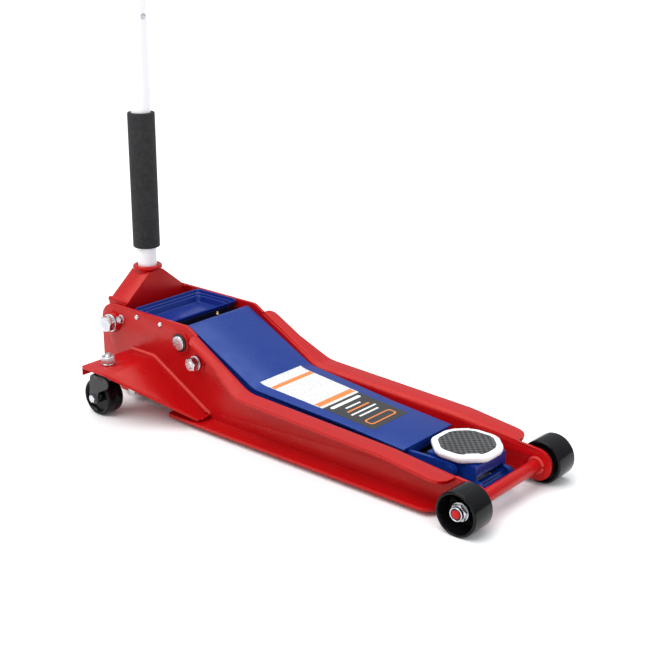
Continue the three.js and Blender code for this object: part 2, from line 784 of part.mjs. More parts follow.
const lugRadius = 12;
function armPlate() {
  const top = offset(coverPath, arm.cover + gap);
  const side = [
    ...top,
    ...rounded([
      [arm.front + 2, top[top.length - 1].y],
      [armFront.x - 36, armFront.z + lugRadius, 12],
      [armFront.x + lugRadius, armFront.z + lugRadius, lugRadius - 0.1],
      [armFront.x + lugRadius, armFront.z - lugRadius, lugRadius - 0.1],
      [-160, 45, 60],
      [-400, 50, 60],
      [-500, 62, 30],
      [-608, 134, 10],
      [-646, 134],
      [-664, 136],
    ], Math.PI / 9),
  ];
  const path = [
    ...armPlan(armRearHalf - arm.inset, arm.plateFrontHalf),
    new THREE.Vector2(armFront.x + 30, arm.plateFrontHalf),
  ];
  const sheet = prismZ(band(path, arm.plate), [0, 250]);
  const across = [arm.plateFrontHalf - 15, armRearHalf + 5];
  const lug = common(
    rodY(arm.lug, across, armPivot.x, armPivot.z, 24),
    prismY([
      ...offset(coverPath, arm.cover + gap),
      new THREE.Vector2(arm.front, 0),
      new THREE.Vector2(coverRear, 0),
      new THREE.Vector2(coverRear, top[0].y - 9),
    ], across),
  );
  return cut(
    common(join(prismY(side, across), lug), sheet),
    rodY(armPivot.radius + runningClearance, [0, 200], armPivot.x, armPivot.z, 24),
    rodY(linkPinRadius + boreClearance, [0, 200], armFront.x, armFront.z),
  );
}

const bar = (from, to, depth, across) => {
  const along = new THREE.Vector2(to.x - from.x, to.z - from.z).normalize().multiplyScalar(depth / 2);
  return prismY([
    new THREE.Vector2(from.x + along.y, from.z - along.x),
    new THREE.Vector2(to.x + along.y, to.z - along.x),
    new THREE.Vector2(to.x - along.y, to.z + along.x),
    new THREE.Vector2(from.x - along.y, from.z + along.x),
  ], across);
};

const tubeHalf = armRearHalf - arm.inset - arm.plate - gap;
const crankOuter = crank.inner + crank.thickness;
function crankBody() {
  const plates = [-1, 1].map((side) => {
    const across = side > 0 ? [crank.inner, crankOuter] : [-crankOuter, -crank.inner];
    return [
      rodY(crank.end, across, crankPin.x, crankPin.z, 24),
      bar(armPivot, crankPin, 2 * crank.end - 2, across),
    ];
  }).flat();
  return cut(
    join(rodY(arm.tube, [-tubeHalf, tubeHalf], armPivot.x, armPivot.z, 24), ...plates),
    rodY(armPivot.radius + runningClearance, [-chassis.outer, chassis.outer], armPivot.x, armPivot.z, 24),
    rodY(crank.pin + boreClearance, [-chassis.outer, chassis.outer], crankPin.x, crankPin.z),
  );
}
add('arm_crank', crankBody(), blue);
add('crank_pin', rodY(crank.pin, [-crankOuter - 2, crankOuter + 2], 0, 0), steel, crankPin.x, 0, crankPin.z);

const nippleX = armPivot.x + 2;
const nippleRadius = 2.8;
add('grease_nipple', join(
  rodZ(nippleRadius, [gap, 4], 0, 0, 12),
  rodZ(1.9, [3, 7], 0, 0, 12),
), brass, nippleX, 0, pointAt(coverPath, nippleX + nippleRadius).y);

function saddlePin() {
  const end = arm.plateFrontHalf;
  return join(
    rodY(linkPinRadius, [bracket.half - bracket.thickness - 8, end + gap + 1], 0, 0),
    rodY(10, [end + gap, end + gap + 3], 0, 0),
  );
}

for (const [side, name] of sides) {
  add(`arm_plate_${name}`, forSide(armPlate(), side), blue);
  add(`saddle_pin_${name}`, forSide(saddlePin(), side), blue, armFront.x, 0, armFront.z);
}

// ---------------------------------------------------------------- radius rods
function radiusRod() {
  const across = [rodInner, rodInner + rodThickness];
  return cut(
    join(
      bar(linkAnchor, rodKnee, rodDepth, across),
      bar(rodKnee, rodFront, rodDepth, across),
      rodY(rodEnd, across, linkAnchor.x, linkAnchor.z),
      rodY(rodDepth / 2, across, rodKnee.x, rodKnee.z),
      rodY(rodEnd, across, rodFront.x, rodFront.z),
    ),
    rodY(linkPinRadius + boreClearance, [0, 100], linkAnchor.x, linkAnchor.z),
    rodY(linkPinRadius + runningClearance, [0, 100], rodFront.x, rodFront.z),
  );
}
for (const [side, name] of sides) add(`radius_rod_${name}`, forSide(radiusRod(), side), blue);

// ---------------------------------------------------------------- saddle bracket and saddle
function bracketBody() {
  const { rear, front, half, thickness, top, roof } = bracket;
  const low = rodFront.z - rodEnd;
  const nose = rodFront.x + rodEnd;
  const cheek = rounded([
    [rear, top],
    [front, top],
    [front, rodFront.z + rodEnd + 4, 2],
    [nose, rodFront.z + rodEnd, rodEnd - 1],
    [nose, low, rodEnd - 1],
    [rodFront.x - rodEnd, low, rodEnd - 1],
    [armFront.x - lugRadius, armFront.z - lugRadius, lugRadius - 1],
    [rear, armFront.z - lugRadius + 8, 5],
  ]);
  const cheeks = [-1, 1].map((side) =>
    prismY(cheek, side > 0 ? [half - thickness, half] : [-half, -(half - thickness)]));
  return cut(
    join(
      box([rear, front], [-half, half], [top - roof, top]),
      box([front - thickness, front], [-half, half], [top - 20, top]),
      box([front - 4, front + 4], [-half, half], [rodFront.z - 8, rodFront.z + 12]),
      ...cheeks,
    ),
    rodY(linkPinRadius + runningClearance, [-60, 60], armFront.x, armFront.z),
    rodY(linkPinRadius + boreClearance, [-60, 60], rodFront.x, rodFront.z),
    rodZ(saddle.stem + runningClearance, [0, 100], saddle.x, 0, 24),
  );
}
add('saddle_bracket', bracketBody(), blue);
add('link_pin', rodY(linkPinRadius, [-(rodInner + rodThickness + 3), rodInner + rodThickness + 3], 0, 0),
  blue, rodFront.x, 0, rodFront.z);

function saddleBody() {
  const outline = octagon(saddle.half, saddle.chamfer, 14);
  const ring = (scale, z) => outline.map((p) => new THREE.Vector3(p.x * scale, p.y * scale, z));
  const dish = loft(outline, [ring(0.84, saddle.bottom + gap), ring(1, pad.bottom), ring(1, saddle.ear)]);
  const rimCut = cut(
    prismZ(octagon(saddle.half + 5, saddle.chamfer, 1), [saddle.rim, saddle.ear + 5]),
    ...[1, -1].map((turn) => box([-90, 90], [-17, 17], [saddle.rim - 1, saddle.ear + 6])
      .rotateZ(turn * Math.PI / 4)),
  );
  const recess = octagon(pad.half + gap, pad.chamfer, 4);
  return join(
    cut(dish, rimCut, prismZ(recess, [pad.bottom - gap, saddle.ear + 5])),
    rodZ(saddle.stem, [armFront.z - 14, saddle.bottom + 1], 0, 0, 24),
  );
}
add('saddle', saddleBody(), white, saddle.x);
add('saddle_pad', prismZ(octagon(pad.half, pad.chamfer, 4), [pad.bottom, pad.top]), rubber, saddle.x);

// ---------------------------------------------------------------- handle yoke
function yokeBody() {
  const { half, wall, shoulder, neck, neckHalf } = yoke;
  const side = yokeSide;
  const x = [yokePivot.x - half, yokePivot.x + half];
  const inside = [x[0] + wall, x[1] - wall];
  const low = yokePivot.z + 22;
  const house = (inset, bottom) => [
    [-(side - inset), bottom],
    [side - inset, bottom],
    [side - inset, shoulder - inset * 0.4],
    [neckHalf - inset * 0.4, neck - inset],
    [-(neckHalf - inset * 0.4), neck - inset],
    [-(side - inset), shoulder - inset * 0.4],
  ].map(([a, b]) => new THREE.Vector2(a, b));
  const lugs = [[-side, -(side - wall)], [side - wall, side]].map((across) => join(
    box(x, across, [yokePivot.z, low + 5]),
    rodY(half, across, yokePivot.x, yokePivot.z, 24),
  ));
  const fingerFoot = { x: yokePivot.x - 6, z: yokePivot.z + 10 };
  const fingerStart = roller.half + gap + 0.2;
  const fingers = [-1, 1].map((hand) => {
    const across = hand > 0 ? [fingerStart, fingerStart + roller.finger] : [-fingerStart - roller.finger, -fingerStart];
    return join(bar(fingerFoot, rollerRest, 15, across), rodY(7.5, across, rollerRest.x, rollerRest.z));
  });
  const shell = cut(prismX(house(0, low), x), prismX(house(wall, low - 10), inside));
  const crossBar = box([x[0] + 8, x[1] - 8], [-side + 1, side - 1], [yokePivot.z + 4, yokePivot.z + 15]);
  const sleeve = rodZ(handle.radius + runningClearance + 4.5, [shoulder, collar.z], yokePivot.x, 0, 24);
  const ringRadius = handle.radius + runningClearance + collar.ring;
  const ring = new THREE.TorusGeometry(ringRadius, collar.ring, 10, 24).translate(yokePivot.x, 0, collar.z);
  return cut(
    join(shell, ...lugs, crossBar, ...fingers, sleeve, ring),
    rodZ(handle.radius + runningClearance, [handle.bottom - 1, 300], yokePivot.x, 0, 24),
    rodY(yokePivot.radius + runningClearance, [-chassis.outer, chassis.outer], yokePivot.x, yokePivot.z),
    rodY(roller.pin + boreClearance, [-30, 30], rollerRest.x, rollerRest.z, 16),
  );
}
add('handle_yoke', yokeBody(), red);

const fingerEnd = roller.half + gap + 0.2 + roller.finger;
add('roller_pin', rodY(roller.pin, [-(fingerEnd + 2), fingerEnd + 2], 0, 0, 16), steel, rollerRest.x, 0, rollerRest.z);
add('cam_roller', cut(
  rodY(roller.radius, [-roller.half, roller.half], 0, 0),
  rodY(roller.pin + boreClearance, [-30, 30], 0, 0, 16),
), steel, rollerRest.x, 0, rollerRest.z);

// ---------------------------------------------------------------- pump plunger and release valve
const plungerStart = rollerRest.x + roller.radius + plunger.restGap;
add('pump_plunger', join(
  rodX(plunger.radius, [plungerStart, pump.rear + 14], 0, plungerZ),
  rodX(plunger.radius + 0.4, [plungerStart, plungerStart + 3], 0, plungerZ),
), steel);
add('release_valve', join(
  rodX(releaseValve.radius, [releaseValve.end, pump.rear + 30], 0, 0, 16),
  box([releaseValve.end, releaseValve.end + 6], [-6, 6], [-3, 3]),
), steel, 0, 0, yokePivot.z);

// ---------------------------------------------------------------- handle
const tubeBore = handle.radius - handle.wall;
const spigotRadius = tubeBore - gap;
const spigotBottom = handle.joint - spigot.length;
const buttonHole = (clearance) =>
  rodX(button.radius + clearance, [spigotRadius - 8, handle.radius + 5], 0, button.z, 16);

add('handle_tube_lower', cut(
  rodZ(handle.radius, [handle.bottom, handle.joint], 0, 0, 24),
  rodZ(tubeBore, [handle.bottom - 5, handle.joint + 5], 0, 0, 24),
  buttonHole(runningClearance),
), white, yokePivot.x);

add('handle_tube_upper', cut(
  join(
    rodZ(handle.radius, [handle.joint + gap, grip.bottom + 125], 0, 0, 24),
    rodZ(spigotRadius, [spigotBottom, handle.joint + 2], 0, 0, 24),
  ),
  rodZ(spigotRadius - spigot.wall, [spigotBottom - 5, handle.top], 0, 0, 24),
  buttonHole(runningClearance),
), white, yokePivot.x);

add('foam_sleeve', cut(
  turnedZ([
    [0, foam.bottom],
    [foam.radius - 2, foam.bottom],
    [foam.radius, foam.bottom + 2],
    [foam.radius, foam.top - 2],
    [foam.radius - 2, foam.top],
    [0, foam.top],
  ], 24),
  rodZ(handle.radius + gap, [0, 1000], 0, 0, 24),
), rubber, yokePivot.x);

add('hand_grip', cut(
  turnedZ([
    [0, grip.bottom],
    [grip.radius - 2, grip.bottom],
    [grip.radius, grip.bottom + 3],
    [grip.radius, handle.top - 5],
    [grip.radius - 5, handle.top],
    [0, handle.top],
  ], 24),
  rodZ(handle.radius + gap, [0, grip.bottom + 125 + gap], 0, 0, 24),
), rubber, yokePivot.x);

const buttonBack = spigotRadius - spigot.wall - 3.5;
add('snap_button', join(
  rodX(button.radius, [buttonBack, handle.radius + button.proud], 0, 0, 16),
  rodX(button.radius + 2, [buttonBack - 2, buttonBack + 1], 0, 0, 16),
), zinc, yokePivot.x, 0, button.z);

// ---------------------------------------------------------------- origin at the middle of the box
jack.position.x = -(chassis.rear + frontWheel.radius) / 2;

export default jack;
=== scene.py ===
import json
import math
import bmesh
import bpy
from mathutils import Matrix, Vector
from mathutils.bvhtree import BVHTree

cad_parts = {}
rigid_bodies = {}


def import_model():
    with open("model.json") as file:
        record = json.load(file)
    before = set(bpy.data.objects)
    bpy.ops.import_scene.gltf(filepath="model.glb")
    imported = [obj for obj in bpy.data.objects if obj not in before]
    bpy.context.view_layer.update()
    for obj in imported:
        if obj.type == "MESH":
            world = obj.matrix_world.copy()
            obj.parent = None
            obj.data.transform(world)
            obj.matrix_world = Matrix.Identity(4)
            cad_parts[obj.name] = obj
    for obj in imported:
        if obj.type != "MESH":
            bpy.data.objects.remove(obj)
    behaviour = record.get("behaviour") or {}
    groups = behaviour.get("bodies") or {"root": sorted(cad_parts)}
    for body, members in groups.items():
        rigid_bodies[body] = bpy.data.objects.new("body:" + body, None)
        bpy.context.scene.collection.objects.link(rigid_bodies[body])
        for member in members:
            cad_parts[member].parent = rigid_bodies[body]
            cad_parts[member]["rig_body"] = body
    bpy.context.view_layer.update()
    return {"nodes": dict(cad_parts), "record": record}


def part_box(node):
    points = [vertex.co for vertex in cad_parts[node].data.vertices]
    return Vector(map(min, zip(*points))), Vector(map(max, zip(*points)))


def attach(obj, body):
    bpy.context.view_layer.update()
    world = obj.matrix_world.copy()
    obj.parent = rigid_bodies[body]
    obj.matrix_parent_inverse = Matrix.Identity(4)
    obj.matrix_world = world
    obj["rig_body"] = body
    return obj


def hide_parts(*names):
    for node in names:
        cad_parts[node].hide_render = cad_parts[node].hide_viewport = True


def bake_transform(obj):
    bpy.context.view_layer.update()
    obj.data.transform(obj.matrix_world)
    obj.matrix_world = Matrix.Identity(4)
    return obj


# Low-profile trolley jack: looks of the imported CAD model. Everything is in metres in the row frame:
# +X forward to the saddle, +Y left, +Z up. Lengths below are given in millimetres times MM.
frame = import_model()
MM = 0.001
NODES = frame["nodes"]
SIDES = (("left", 1), ("right", -1))
UP = (0, 0, 1)
PLATE_FACE = 94 * MM        # outer face of a side plate, from the middle


# ---- camera, floor and light
def add_node(tree, kind, **values):
    """A new shader node with its inputs set; an underscore stands for a space in an input's name."""
    made = tree.nodes.new(f"ShaderNode{kind}")
    for key, value in values.items():
        made.inputs[key.replace("_", " ")].default_value = value
    return made


def camera():
    data = bpy.data.cameras.new("camera")
    data.lens = 69.87
    data.sensor_width = 36
    data.shift_x = 0.0158
    data.shift_y = -0.0094
    data.clip_end = 100
    eye = bpy.data.objects.new("camera", data)
    eye.location = (1.4011, -1.6109, 0.9501)
    azimuth, elevation = math.radians(40.8), math.radians(18.77)
    towards = Vector((
        -math.sin(azimuth) * math.cos(elevation),
        math.cos(azimuth) * math.cos(elevation),
        -math.sin(elevation),
    ))
    eye.rotation_euler = towards.to_track_quat("-Z", "Y").to_euler()
    bpy.context.collection.objects.link(eye)
    bpy.context.scene.camera = eye


def area_light(name, location, target, size, power, colour=(1, 1, 1)):
    data = bpy.data.lights.new(name, "AREA")
    data.shape = "RECTANGLE"
    data.size, data.size_y = size
    data.energy = power
    data.color = colour
    lamp = bpy.data.objects.new(name, data)
    lamp.location = location
    lamp.rotation_euler = (Vector(target) - Vector(location)).to_track_quat("-Z", "Y").to_euler()
    bpy.context.collection.objects.link(lamp)


def studio():
    """A white floor, a soft key light and a sky that dims towards the horizon."""
    world = bpy.data.worlds.new("studio")
    world.use_nodes = True
    sky = world.node_tree.nodes["Background"]
    sky.inputs["Color"].default_value = (0.95, 0.97, 1.0, 1)
    tree = world.node_tree
    split = add_node(tree, "SeparateXYZ")
    fade = add_node(tree, "MapRange", From_Min=-0.1, From_Max=0.8, To_Min=0.22, To_Max=0.92)
    tree.links.new(add_node(tree, "TexCoord").outputs["Generated"], split.inputs["Vector"])
    tree.links.new(split.outputs["Z"], fade.inputs["Value"])
    tree.links.new(fade.outputs["Result"], sky.inputs["Strength"])
    bpy.context.scene.world = world
    sun = bpy.data.lights.new("key", "SUN")
    sun.energy = 2.1
    sun.angle = math.radians(55)
    key = bpy.data.objects.new("key", sun)
    key.rotation_euler = Vector((0.45, 1.0, -1.9)).to_track_quat("-Z", "Y").to_euler()
    bpy.context.collection.objects.link(key)
    middle = (0, 0, 0.1)
    area_light("overhead", (-0.5, 0.9, 2.4), middle, (2.2, 1.0), 16)
    area_light("side", (1.9, -0.9, 1.0), middle, (0.5, 1.4), 7)
    bpy.ops.mesh.primitive_plane_add(size=600)
    floor = bpy.context.object
    floor.name = "floor"
    floor.data.materials.append(plain("floor", (0.90, 0.90, 0.90), 0.9))
    bpy.context.scene.view_settings.view_transform = "Standard"
    bpy.context.scene.view_settings.look = "None"


# ---- materials
def plain(name, colour, roughness, metallic=0.0):
    made = bpy.data.materials.new(name)
    made.use_nodes = True
    shader = made.node_tree.nodes["Principled BSDF"]
    shader.inputs["Base Color"].default_value = (*colour, 1)
    shader.inputs["Roughness"].default_value = roughness
    shader.inputs["Metallic"].default_value = metallic
    return made


class Finish:
    """A Principled material whose colour, roughness and bump vary with noise over the object."""

    def __init__(self, name, colour, roughness, metallic=0.0, coat=0.0, coat_roughness=0.1):
        self.material = plain(name, colour, roughness, metallic)
        self.tree = self.material.node_tree
        self.shader = self.tree.nodes["Principled BSDF"]
        self.shader.inputs["Coat Weight"].default_value = coat
        self.shader.inputs["Coat Roughness"].default_value = coat_roughness
        self.colour = colour
        self.place = add_node(self.tree, "TexCoord").outputs["Object"]
        self.height = None

    def link(self, source, target):
        self.tree.links.new(source, target)

    def stretched(self, scale):
        mapping = add_node(self.tree, "Mapping", Scale=scale)
        self.link(self.place, mapping.inputs["Vector"])
        return mapping.outputs["Vector"]

    def noise(self, scale, detail=2.0, stretch=None):
        texture = add_node(self.tree, "TexNoise", Scale=scale, Detail=detail)
        self.link(self.stretched(stretch) if stretch else self.place, texture.inputs["Vector"])
        return texture.outputs["Fac"]

    def remap(self, value, low, high, start=0.3, end=0.7):
        node = add_node(self.tree, "MapRange", From_Min=start, From_Max=end, To_Min=low, To_Max=high)
        self.link(value, node.inputs["Value"])
        return node.outputs["Result"]

    def tint(self, factor, other):
        """Blends from the colour so far to another one."""
        mix = add_node(self.tree, "Mix")
        mix.data_type = "RGBA"
        socket = self.shader.inputs["Base Color"]
        if socket.is_linked:
            self.link(socket.links[0].from_socket, mix.inputs[6])
        else:
            mix.inputs[6].default_value = (*self.colour, 1)
        mix.inputs[7].default_value = (*other, 1)
        self.link(factor, mix.inputs[0])
        self.link(mix.outputs[2], socket)
        return self

    def vary(self, scale, amount, detail=3.0):
        """Slow colour variation, darker and lighter by amount."""
        darker = tuple(c * (1 - amount) for c in self.colour)
        return self.tint(self.remap(self.noise(scale, detail), 0, 1), darker)

    def roughen(self, scale, low, high, detail=4.0, stretch=None):
        self.link(self.remap(self.noise(scale, detail, stretch), low, high), self.shader.inputs["Roughness"])
        return self

    def bump(self, scale, distance, strength=1.0, detail=2.0, stretch=None):
        node = add_node(self.tree, "Bump", Distance=distance, Strength=strength)
        self.link(self.noise(scale, detail, stretch), node.inputs["Height"])
        if self.height:
            self.link(self.height, node.inputs["Normal"])
        self.height = node.outputs["Normal"]
        self.link(self.height, self.shader.inputs["Normal"])
        return self


def paint(name, colour, sheen_colour, roughness=0.34):
    """Glossy enamel whose sheen keeps its own hue: a slow tone change and fine orange peel."""
    finish = Finish(name, colour, roughness)
    finish.shader.inputs["Specular Tint"].default_value = (*sheen_colour, 1)
    finish.vary(7, 0.10)
    finish.roughen(30, roughness - 0.06, roughness + 0.08)
    finish.bump(300, 0.00006, 0.3)
    return finish.material


def metal(name, colour, roughness, grain=(1, 1, 1)):
    finish = Finish(name, colour, roughness, metallic=1.0)
    finish.vary(90, 0.16)
    finish.roughen(260, roughness - 0.08, roughness + 0.12, stretch=grain)
    finish.bump(900, 0.00005, 0.3, stretch=grain)
    return finish.material


def plastic(name, colour, roughness, scuff=0.08):
    finish = Finish(name, colour, roughness)
    finish.shader.inputs["Specular IOR Level"].default_value = 0.16
    finish.vary(40, 0.25)
    finish.roughen(45, roughness - 0.05, roughness + scuff)
    finish.bump(200, 0.00004, 0.25)
    return finish.material


def soft_rubber(name, colour, roughness, pores, depth):
    finish = Finish(name, colour, roughness)
    finish.vary(25, 0.3)
    finish.roughen(120, roughness - 0.1, roughness + 0.1)
    finish.bump(pores, depth, 0.7, detail=4)
    finish.tint(finish.remap(finish.noise(700, 3), 0, 0.12, 0.5, 0.8), (0.09, 0.09, 0.095))
    return finish.material


def print_lines(name):
    """White label stock with rows of broken grey dashes, which stand for small print."""
    finish = Finish(name, (0.80, 0.80, 0.79), 0.38, coat=0.2)
    tree = finish.tree
    split = add_node(tree, "SeparateXYZ")
    finish.link(finish.place, split.inputs[0])

    def calculate(operation, a, b):
        node = add_node(tree, "Math")
        node.operation = operation
        for socket, value in zip(node.inputs, (a, b)):
            if isinstance(value, (int, float)):
                socket.default_value = value
            else:
                finish.link(value, socket)
        return node.outputs[0]

    row_pitch = 3.4 * MM
    rows = calculate("MULTIPLY", split.outputs["X"], 1 / row_pitch)
    in_row = calculate("LESS_THAN", calculate("FRACT", rows, 0), 0.5)
    words = finish.noise(1.0, 1.0, stretch=(1 / row_pitch * 0.97, 240, 1))
    ink = calculate("MULTIPLY", in_row, calculate("GREATER_THAN", words, 0.46))
    finish.tint(calculate("MULTIPLY", ink, 0.6), (0.20, 0.20, 0.21))
    finish.bump(600, 0.00003, 0.2)
    return finish.material


RED = paint("red_enamel", (0.45, 0.003, 0.005), (1.0, 0.38, 0.30), 0.3)
BLUE = paint("blue_enamel", (0.002, 0.026, 0.21), (0.38, 0.56, 1.0), 0.26)
# The tray's blue is a darker, glossier copy of the blue enamel: the darker colour is painted shade, the
# lower roughness is the tray's own gloss.
TRAY_BLUE_SHADED = paint("tray_enamel_shaded", (0.003, 0.020, 0.20), (0.45, 0.60, 1.0), 0.2)
WHITE = paint("white_coat", (0.95, 0.95, 0.96), (1, 1, 1), 0.36)
# The welds' red is lighter and pinker than the red enamel: a painted highlight along the beads.
WELD_RED_HIGHLIGHT = paint("weld_enamel_highlight", (0.56, 0.030, 0.026), (1.0, 0.6, 0.55), 0.4)
ZINC = metal("zinc_plate", (0.68, 0.70, 0.72), 0.24)
STEEL = metal("ground_steel", (0.45, 0.46, 0.48), 0.30, (1, 1, 12))
BRASS = metal("brass", (0.72, 0.50, 0.18), 0.28)
BLACK_STEEL = paint("black_lacquer", (0.006, 0.006, 0.007), (1, 1, 1), 0.3)
IRON = paint("cast_paint", (0.014, 0.014, 0.016), (0.8, 0.8, 0.8), 0.6)
NYLON = plastic("wheel_plastic", (0.004, 0.004, 0.005), 0.14)
NYLON_RING = plastic("lock_ring", (0.02, 0.04, 0.07), 0.4)
PAD = soft_rubber("pad_rubber", (0.075, 0.075, 0.077), 0.55, 900, 0.00008)
# The pits' near-black rubber is painted shade in the recesses of the pad.
PAD_PIT_SHADE = soft_rubber("pad_pits_shade", (0.006, 0.006, 0.006), 0.7, 900, 0.00008)
FOAM = soft_rubber("foam", (0.013, 0.013, 0.014), 0.8, 1600, 0.0002)
GRIP = soft_rubber("grip_rubber", (0.018, 0.018, 0.019), 0.65, 700, 0.0001)
LABEL = print_lines("label_print")
LABEL_PLAIN = Finish("label_white", (0.80, 0.80, 0.79), 0.38, coat=0.2).bump(600, 0.00003, 0.2).material
ORANGE = Finish("label_orange", (0.78, 0.21, 0.035), 0.42, coat=0.1).vary(60, 0.08).material
BLACK_LABEL = Finish("label_black", (0.012, 0.012, 0.013), 0.36, coat=0.2).vary(50, 0.3).material
ROOT_ZINC = (ZINC, "root", "zinc")
ROOT_RED = (RED, "root", "red_paint")
ROOT_WELD_HIGHLIGHT = (WELD_RED_HIGHLIGHT, "root", "red_paint")

SLOT_FINISH = {
    "red_paint": RED, "blue_paint": BLUE, "white_paint": WHITE, "zinc": ZINC, "steel": STEEL,
    "black_steel": BLACK_STEEL, "cast_iron": IRON, "brass": BRASS, "nylon": NYLON, "rubber": PAD,
    "foam": FOAM, "grip_rubber": GRIP,
}


# ---- CAD nodes: finish, soft edges
def smooth_group():
    """A geometry group that shades smooth, but keeps edges sharper than its limit."""
    group = bpy.data.node_groups.new("smooth_by_angle", "GeometryNodeTree")
    group.interface.new_socket("Geometry", in_out="INPUT", socket_type="NodeSocketGeometry")
    group.interface.new_socket("Geometry", in_out="OUTPUT", socket_type="NodeSocketGeometry")
    nodes, links = group.nodes, group.links
    start, end = nodes.new("NodeGroupInput"), nodes.new("NodeGroupOutput")
    faces = nodes.new("GeometryNodeSetShadeSmooth")
    edges = nodes.new("GeometryNodeSetShadeSmooth")
    edges.domain = "EDGE"
    angle = nodes.new("GeometryNodeInputMeshEdgeAngle")
    soft = nodes.new("FunctionNodeCompare")
    soft.data_type, soft.operation = "FLOAT", "LESS_THAN"
    soft.inputs["B"].default_value = math.radians(38)
    links.new(start.outputs[0], faces.inputs["Geometry"])
    links.new(faces.outputs[0], edges.inputs["Geometry"])
    links.new(angle.outputs["Unsigned Angle"], soft.inputs["A"])
    links.new(soft.outputs[0], edges.inputs["Shade Smooth"])
    links.new(edges.outputs[0], end.inputs[0])
    return group


SMOOTH = smooth_group()


def smooth(piece):
    piece.modifiers.new("smooth", "NODES").node_group = SMOOTH


def soften(piece, width, segments=3, angle=32):
    bevel = piece.modifiers.new("edges", "BEVEL")
    bevel.width = width
    bevel.segments = segments
    bevel.limit_method = "ANGLE"
    bevel.angle_limit = math.radians(angle)
    bevel.use_clamp_overlap = True


EDGE = {
    "side_plate": 1.2, "caster_wing": 1.2, "arm_cover": 1.6, "arm_plate": 1.0, "tool_tray": 1.6,
    "handle_yoke": 1.6, "saddle_bracket": 2.0, "saddle": 2.4, "caster_fork": 1.4, "pump_block": 2.0,
    "crosshead": 1.5, "radius_rod": 1.0, "arm_crank": 1.0, "ram_cylinder": 1.2,
}


def dress_nodes():
    slots = {row["node"]: row["material_slot"] for row in frame["record"]["subparts"]}
    for name, piece in NODES.items():
        normals = piece.data.attributes.get("custom_normal")
        if normals:
            piece.data.attributes.remove(normals)
        piece.data.materials.clear()
        piece.data.materials.append(SLOT_FINISH[slots[name]])
        weld = piece.modifiers.new("weld", "WELD")
        weld.merge_threshold = 0.00002
        family = name.removesuffix("_left").removesuffix("_right")
        soften(piece, EDGE.get(family, 0.5) * MM)
        smooth(piece)


# ---- mesh helpers
def new_piece(name, points, faces, finish, body, smooth_angle=38):
    mesh = bpy.data.meshes.new(name)
    mesh.from_pydata([tuple(p) for p in points], [], faces)
    clean = bmesh.new()
    clean.from_mesh(mesh)
    bmesh.ops.remove_doubles(clean, verts=clean.verts, dist=1e-7)
    bmesh.ops.recalc_face_normals(clean, faces=clean.faces)
    clean.to_mesh(mesh)
    clean.free()
    mesh.polygons.foreach_set("use_smooth", [True] * len(mesh.polygons))
    mesh.set_sharp_from_angle(angle=math.radians(smooth_angle))
    mesh.materials.append(finish)
    piece = bpy.data.objects.new(name, mesh)
    bpy.context.collection.objects.link(piece)
    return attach(piece, body)


def axes_of(direction):
    """Two unit vectors square to a direction, and the direction."""
    along = Vector(direction).normalized()
    across = along.orthogonal().normalized()
    return across, along.cross(across), along


def lathe_points(profile, centre, direction, steps):
    """Rings of points for a profile of (radius, height), in metres, turned about a direction."""
    across, beside, along = axes_of(direction)
    points = []
    for radius, height in profile:
        for k in range(steps):
            angle = 2 * math.pi * k / steps
            points.append(Vector(centre) + along * height
                          + (across * math.cos(angle) + beside * math.sin(angle)) * radius)
    return points


def ring_faces(rings, steps, closed=False):
    faces = []
    for ring in range(rings if closed else rings - 1):
        for k in range(steps):
            a, b = ring * steps + k, ring * steps + (k + 1) % steps
            up = steps if ring + 1 < rings else -ring * steps
            faces.append((a, b, b + up, a + up))
    return faces


def end_caps(rings, steps):
    return [tuple(range(steps)), tuple(range((rings - 1) * steps, rings * steps))]


# Faces of a box whose eight points count through its three directions, the last one fastest.
BOX_FACES = ((0, 1, 3, 2), (4, 6, 7, 5), (0, 4, 5, 1), (2, 3, 7, 6), (0, 2, 6, 4), (1, 5, 7, 3))


def cad(node):
    """Lowest corner, highest corner and middle of a CAD node."""
    low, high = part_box(node)
    return low, high, (low + high) / 2


def both_sides(node):
    """Side name, its sign along Y, and the CAD box of the node on that side."""
    for side, hand in SIDES:
        yield side, hand, *cad(f"{node}_{side}")


def lathe(name, profile, centre, direction, finish, body, slot, steps=96, closed=False):
    """A turned piece. An open profile is capped at both ends; a closed one is a ring with a bore."""
    points = lathe_points(profile, centre, direction, steps)
    faces = ring_faces(len(profile), steps, closed)
    if not closed:
        faces += end_caps(len(profile), steps)
    return new_piece(name, points, faces, finish, body)


def mm(*pairs, r=0.0, h=0.0):
    """Profile points given in millimetres from a radius and a height in metres."""
    return [(r + a * MM, h + b * MM) for a, b in pairs]


def arc(centre, radius, start, end, steps=5):
    """Profile points on an arc, angles in degrees from the radial direction."""
    r, h = centre
    turns = [math.radians(start + (end - start) * k / steps) for k in range(steps + 1)]
    return [(r + radius * math.cos(t), h + radius * math.sin(t)) for t in turns]


def rounded_bar(radius, low, high, edge):
    """The profile of a solid bar with rounded rims."""
    return [
        (radius * 0.5, low),
        *arc((radius - edge, low + edge), edge, -90, 0),
        *arc((radius - edge, high - edge), edge, 0, 90),
        (radius * 0.5, high),
    ]


def tube(name, rings, sides, finish, body, smooth_angle):
    """A tube with closed ends through rings of (place, direction, vector beside it, radius)."""
    points = []
    for place, along, reference, size in rings:
        across = along.cross(reference).normalized()
        beside = along.cross(across)
        for k in range(sides):
            angle = 2 * math.pi * k / sides
            points.append(place + (across * math.cos(angle) + beside * math.sin(angle)) * size)
    faces = ring_faces(len(rings), sides) + end_caps(len(rings), sides)
    return new_piece(name, points, faces, finish, body, smooth_angle)


